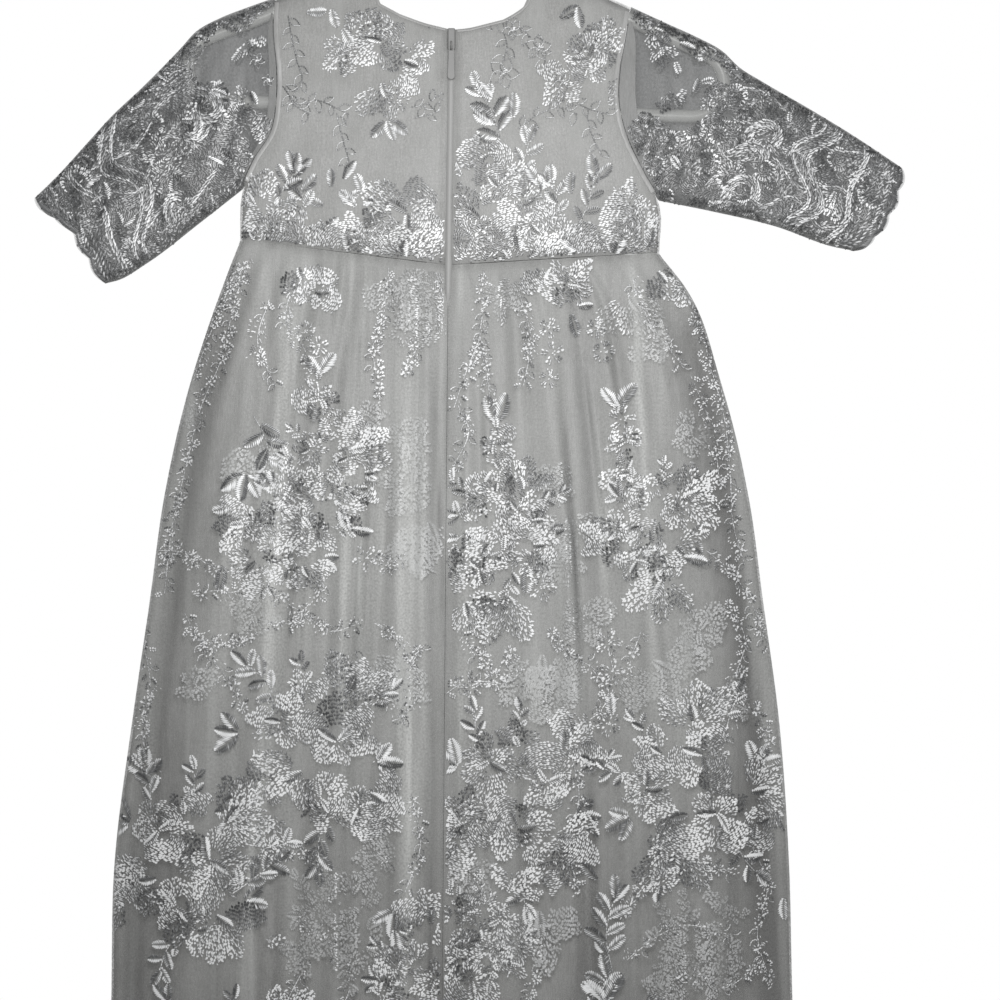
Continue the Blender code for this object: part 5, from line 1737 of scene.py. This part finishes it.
def loop_of_tube(name, path, radius):
    """A round tube along a closed path of (x, y, down): a circle square to each point's heading."""
    p = np.array(path, float)
    ahead = np.roll(p, -1, axis=0) - np.roll(p, 1, axis=0)
    ahead /= np.linalg.norm(ahead, axis=1)[:, None]
    side = np.cross(ahead, (0.0, 1.0, 0.0))
    side /= np.linalg.norm(side, axis=1)[:, None]
    up = np.cross(side, ahead)
    angle = 2 * np.pi * np.arange(TUBE_SIDES) / TUBE_SIDES
    circle = np.cos(angle)[None, :, None] * side[:, None] + np.sin(angle)[None, :, None] * up[:, None]
    points = p[:, None] + radius * circle
    points[..., 2] *= -1
    i, j = np.meshgrid(np.arange(len(p)), np.arange(TUBE_SIDES), indexing="ij")
    ring, following = i * TUBE_SIDES, (i + 1) % len(p) * TUBE_SIDES
    beside = (j + 1) % TUBE_SIDES
    faces = np.stack([ring + j, following + j, following + beside, ring + beside], axis=-1)
    return mesh_from(name, points.reshape(-1, 3), faces.reshape(-1, 4)[:, ::-1])


def band(name, line, half, lift, bulge, facing, finish):
    """A narrow strip of cloth along a line of (x, down) on the bodice, with its middle raised."""
    way = np.gradient(line, axis=0)
    side = np.stack([-way[:, 1], way[:, 0]], axis=1) / np.hypot(*way.T)[:, None]
    across = np.linspace(-1.0, 1.0, 7)
    spot = line[:, None, :] + half * across[None, :, None] * side[:, None, :]
    x, down = spot[..., 0], spot[..., 1]
    out = body_out(x, down, TULLE_RADIUS, facing, "tulle") + lift + bulge * (1 - across**2)
    return grid_piece(name, x, facing * out, down, finish, flip=facing > 0)


def armhole_line(side, inward):
    """The armhole from the shoulder to the armpit, moved that far into the bodice."""
    rows, armpit, outward = ARMHOLES[side]
    down = np.linspace(rows[0][0] + 4.5, armpit - 4.0, 50)
    return np.column_stack([through(rows, down) - outward * inward, down])


def neck_line(part, facing, inward):
    """The neckline of a panel from the shoulder's inner end, moved that far down."""
    neck = np.array(BACK_NECK if facing < 0 else FRONT_NECK)[1:-1]
    x = np.linspace(*NECK_STRETCH[part], 60)
    return np.column_stack([x, np.interp(x, *neck.T) + inward])


def trims(part, facing, finish):
    """The bindings on a bodice panel: along its armholes and its neckline."""
    place = "front" if facing > 0 else f"back_{part}"
    made = []
    for side in ("left", "right") if part == "whole" else (part,):
        line = armhole_line(side, 1.5)
        made.append(band(f"armhole_binding_{place}_{side}", line, 1.2, 0.04, 0.2, facing, finish))
    line = neck_line(part, facing, 1.3)
    made.append(band(f"neck_binding_{place}", line, 0.6, 0.04, 0.15, facing, finish))
    return made


def seam_allowance(side, finish):
    """The turned-in edge of the satin inside a sleeve, seen through its net."""
    rows, armpit, outward = ARMHOLES[side]
    t = np.linspace(0.0, 1.0, 50)[:, None]
    across = np.linspace(0.0, 1.0, 9)[None, :]
    down = rows[0][0] + 10 + (armpit - 8 - rows[0][0] - 10) * t + 0 * across
    width = SEAM_WIDTH[side] * np.sin(np.pi * np.clip(t, 0.02, 0.98)) ** 0.5
    x = through(rows, down) + outward * (0.6 + width * across)
    inside = np.maximum(from_edge(x, down) - OUTER_ROUND, 0.0)
    out = 4.6 + 1.6 * (1 - np.exp(-inside / 12)) + 0.4 * np.sin(down / 7.0) - 0.8 * across
    y = -np.minimum(out, sleeve_out(x, down, -1) - 0.6)
    return grid_piece(f"seam_allowance_{side}", x, y, down, finish)


def build_cloth():
    """All the cloth, each piece with its embroidery and its trims."""
    satin = satin_weave("polyester_satin", "ACACAA", "C6C6C5")
    binding = satin_weave("satin_binding", "9B9B9A", "ABABAA")
    tulle = net("nylon_tulle", "7A7A79", "C7C8C6", 0.45)
    sleeve_tulle = net("close_nylon_tulle", "747575", "8C8D8D", 0.1)
    thread = thread_finish()

    for part in ("left", "right", "whole"):
        facing, place = (1, "front") if part == "whole" else (-1, f"back_{part}")
        for skirt, kind in ((False, "bodice"), (True, "skirt")):
            own = part, facing, skirt
            name, node, slot = f"satin_{kind}_{place}", f"lining_{kind}_{place}", "satin"
            made, grid = cloth_panel(name, "satin", *own, *SATIN_GRID, satin, slot, node)
            declare_cloth(made, *grid)
            name, node, slot = f"tulle_{kind}_{place}", f"lace_{kind}_{place}", "embroidered_tulle"
            made, grid = cloth_panel(name, "tulle", *own, *TULLE_GRID, tulle, slot, node)
            outline = body_outline(*own)
            rows = clipped(body_work(*own), outline)
            out = relief(lambda x, down: body_out(x, down, TULLE_RADIUS, facing, "tulle"), outline)
            extra = [] if skirt else trims(part, facing, binding)
            halves = (("_left", -1.0), ("_right", 1.0)) if skirt and part == "whole" else (("", 0.0),)
            for ending, sign in halves:
                half = rows[(rows[:, 0] - CENTRE) * sign >= 0]
                name = f"embroidery_{kind}_{place}{ending}"
                extra.append(piece(name, stitch_mesh(name, [(half, out, facing)]), thread))
            declare_cloth(made, *grid, extra=extra)

    for side in ("left", "right"):
        made, grid = sleeve(side, sleeve_tulle)
        sets = []
        for facing in (-1, 1):
            out = relief(lambda x, down: sleeve_out(x, down, facing), sleeve_outline(side))
            sets.append((sleeve_work(side, facing), out, facing))
        name = f"embroidery_sleeve_{side}"
        work = piece(name, stitch_mesh(name, sets), thread)
        declare_cloth(made, *grid, extra=[work, seam_allowance(side, satin)])


def build_zip():
    """The zip: its tape, and the covered closed row between the centre back edges."""
    # polyester tape, woven close: matt, with the fine tooth of its threads
    tape = plain("woven_zip_tape", "939392", 0.6, 0.4, 2.0)
    edge = plain("woven_zip_edge", "AAAAA9", 0.55, 0.5, 1.6)
    # die-cast zinc under white lacquer: an even soft gloss, and no metal shows
    metal = plain("lacquered_zinc_alloy", "828281", 0.4, 0.1, 1.0)
    top, foot = ZIP_TOP[1], ZIP_FOOT[1] + 9.0
    back = tape_strip("zip_tape_band", ZIP_TAPE_HALF, top, foot, -2.6, 0.0, tape)
    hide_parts("zip_tape")
    row = tape_strip("zip_row", ZIP_ROW_HALF, top + 0.5, foot, -1.2, 1.1, edge)
    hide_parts("zip_teeth")
    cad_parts["zip_slider"].material_slots[0].material = metal
    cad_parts["pull_tab"].material_slots[0].material = metal


def build_hanger():
    """The hanger's closed loop of tube: a triangle with round corners, from arcs in its own plane."""
    # injection-moulded polypropylene: smooth, with a waxy gloss
    plastic = plain("moulded_polypropylene", "E2E3E0", 0.3, 0.08, 0.4)
    slope = HANGER_SLOPE
    floor = HANGER_CORNER - HANGER_BAR
    corner_x = (-floor - HANGER_CORNER / math.cos(slope)) / math.tan(slope)
    arcs = (
        (0.0, -HANGER_PEAK / math.cos(slope), HANGER_PEAK, math.pi / 2 + slope, math.pi / 2 - slope, 12),
        (corner_x, floor, HANGER_CORNER, math.pi / 2 - slope, -math.pi / 2, 28),
        (-corner_x, floor, HANGER_CORNER, -math.pi / 2, -3 * math.pi / 2 + slope, 28),
    )
    path = []
    for cx, cy, radius, start, stop, steps in arcs:
        angle = np.linspace(start, stop, steps)
        path.append(np.column_stack([cx + radius * np.cos(angle), cy + radius * np.sin(angle)]))
    x, up = np.concatenate(path).T
    turned = np.column_stack([
        HANGER_APEX[0] + x * math.cos(TILT) + up * math.sin(TILT),
        np.zeros_like(x),
        HANGER_APEX[1] + x * math.sin(TILT) - up * math.cos(TILT),
    ])
    made = piece("hanger_loop", loop_of_tube("hanger_loop", turned, HANGER_TUBE), plastic)
    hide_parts("hanger_frame")
    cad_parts["hanger_hook"].material_slots[0].material = plastic


# ----------------------------------------------------------------- camera, light and background
# These are in metres, in the frame's own axes.

FLOOR_HALF = 1.2
FLOOR_LEVEL = -1.0
CAMERA_DISTANCE = 1.30
VIEW_CENTRE = (0.0231, -0.3685)  # x and z of the middle of the view
VIEW_WIDTH = 0.55  # how wide the view is at the gown's back
GOWN_BACK = 0.012  # how far that is in front of the rail
SENSOR = 36.0  # the camera's sensor, in millimetres
# Soft lamps: name, place, what it lights, width and watts.
LAMPS = (
    ("key_softbox", (0.02, -0.75, -0.17), (0.0, 0.0, -0.2), 0.3, 4.3),
    ("side_softbox", (0.95, -0.6, 0.1), (0.0, 0.0, -0.3), 0.5, 1.8),
    ("front_softbox", (-0.3, 1.1, -0.1), (0.0, 0.0, -0.35), 0.6, 8.0),
)


def point_at(made, place, aim):
    """Puts a lamp at a place and turns its -Z towards what it lights."""
    made.location = place
    made.rotation_euler = (Vector(aim) - Vector(place)).to_track_quat("-Z", "Y").to_euler()


def build_stage():
    """A pale floor under the hem, soft lamps, a white surround, and the camera."""
    scene = bpy.context.scene
    scene.view_settings.view_transform = "Standard"
    corners = [(x * FLOOR_HALF, y * FLOOR_HALF, FLOOR_LEVEL) for x, y in ((-1, -1), (1, -1), (1, 1), (-1, 1))]
    mesh = mesh_from("floor", np.array(corners) / MM, np.array([[0, 1, 2, 3]]), smooth=False)
    floor = bpy.data.objects.new("floor", mesh)
    scene.collection.objects.link(floor)
    mesh.materials.append(plain("painted_floor", "EDEDEB", 0.7, 0.05, 0.05))

    world = bpy.data.worlds.new("white_room")
    world.use_nodes = True
    scene.world = world
    tree = world.node_tree
    paths = add_node(tree, "ShaderNodeLightPath")
    span = {"To Min": 0.2, "To Max": 1.0}
    strength = add_node(tree, "ShaderNodeMapRange", {"Value": paths.outputs["Is Camera Ray"], **span})
    tree.links.new(strength.outputs[0], tree.nodes["Background"].inputs["Strength"])
    tree.nodes["Background"].inputs["Color"].default_value = (1.0, 1.0, 1.0, 1.0)

    for name, place, aim, size, watts in LAMPS:
        lamp = bpy.data.lights.new(name, "AREA")
        lamp.shape = "DISK"
        lamp.size = size
        lamp.energy = watts
        made = bpy.data.objects.new(name, lamp)
        scene.collection.objects.link(made)
        point_at(made, place, aim)

    data = bpy.data.cameras.new("camera")
    data.sensor_width = SENSOR
    camera = bpy.data.objects.new("camera", data)
    scene.collection.objects.link(camera)
    data.lens = SENSOR * (CAMERA_DISTANCE - GOWN_BACK) / VIEW_WIDTH
    camera.location = (VIEW_CENTRE[0], -CAMERA_DISTANCE, VIEW_CENTRE[1])
    camera.rotation_euler = (math.pi / 2, 0.0, 0.0)
    scene.camera = camera


build_cloth()
build_zip()
build_hanger()
build_stage()
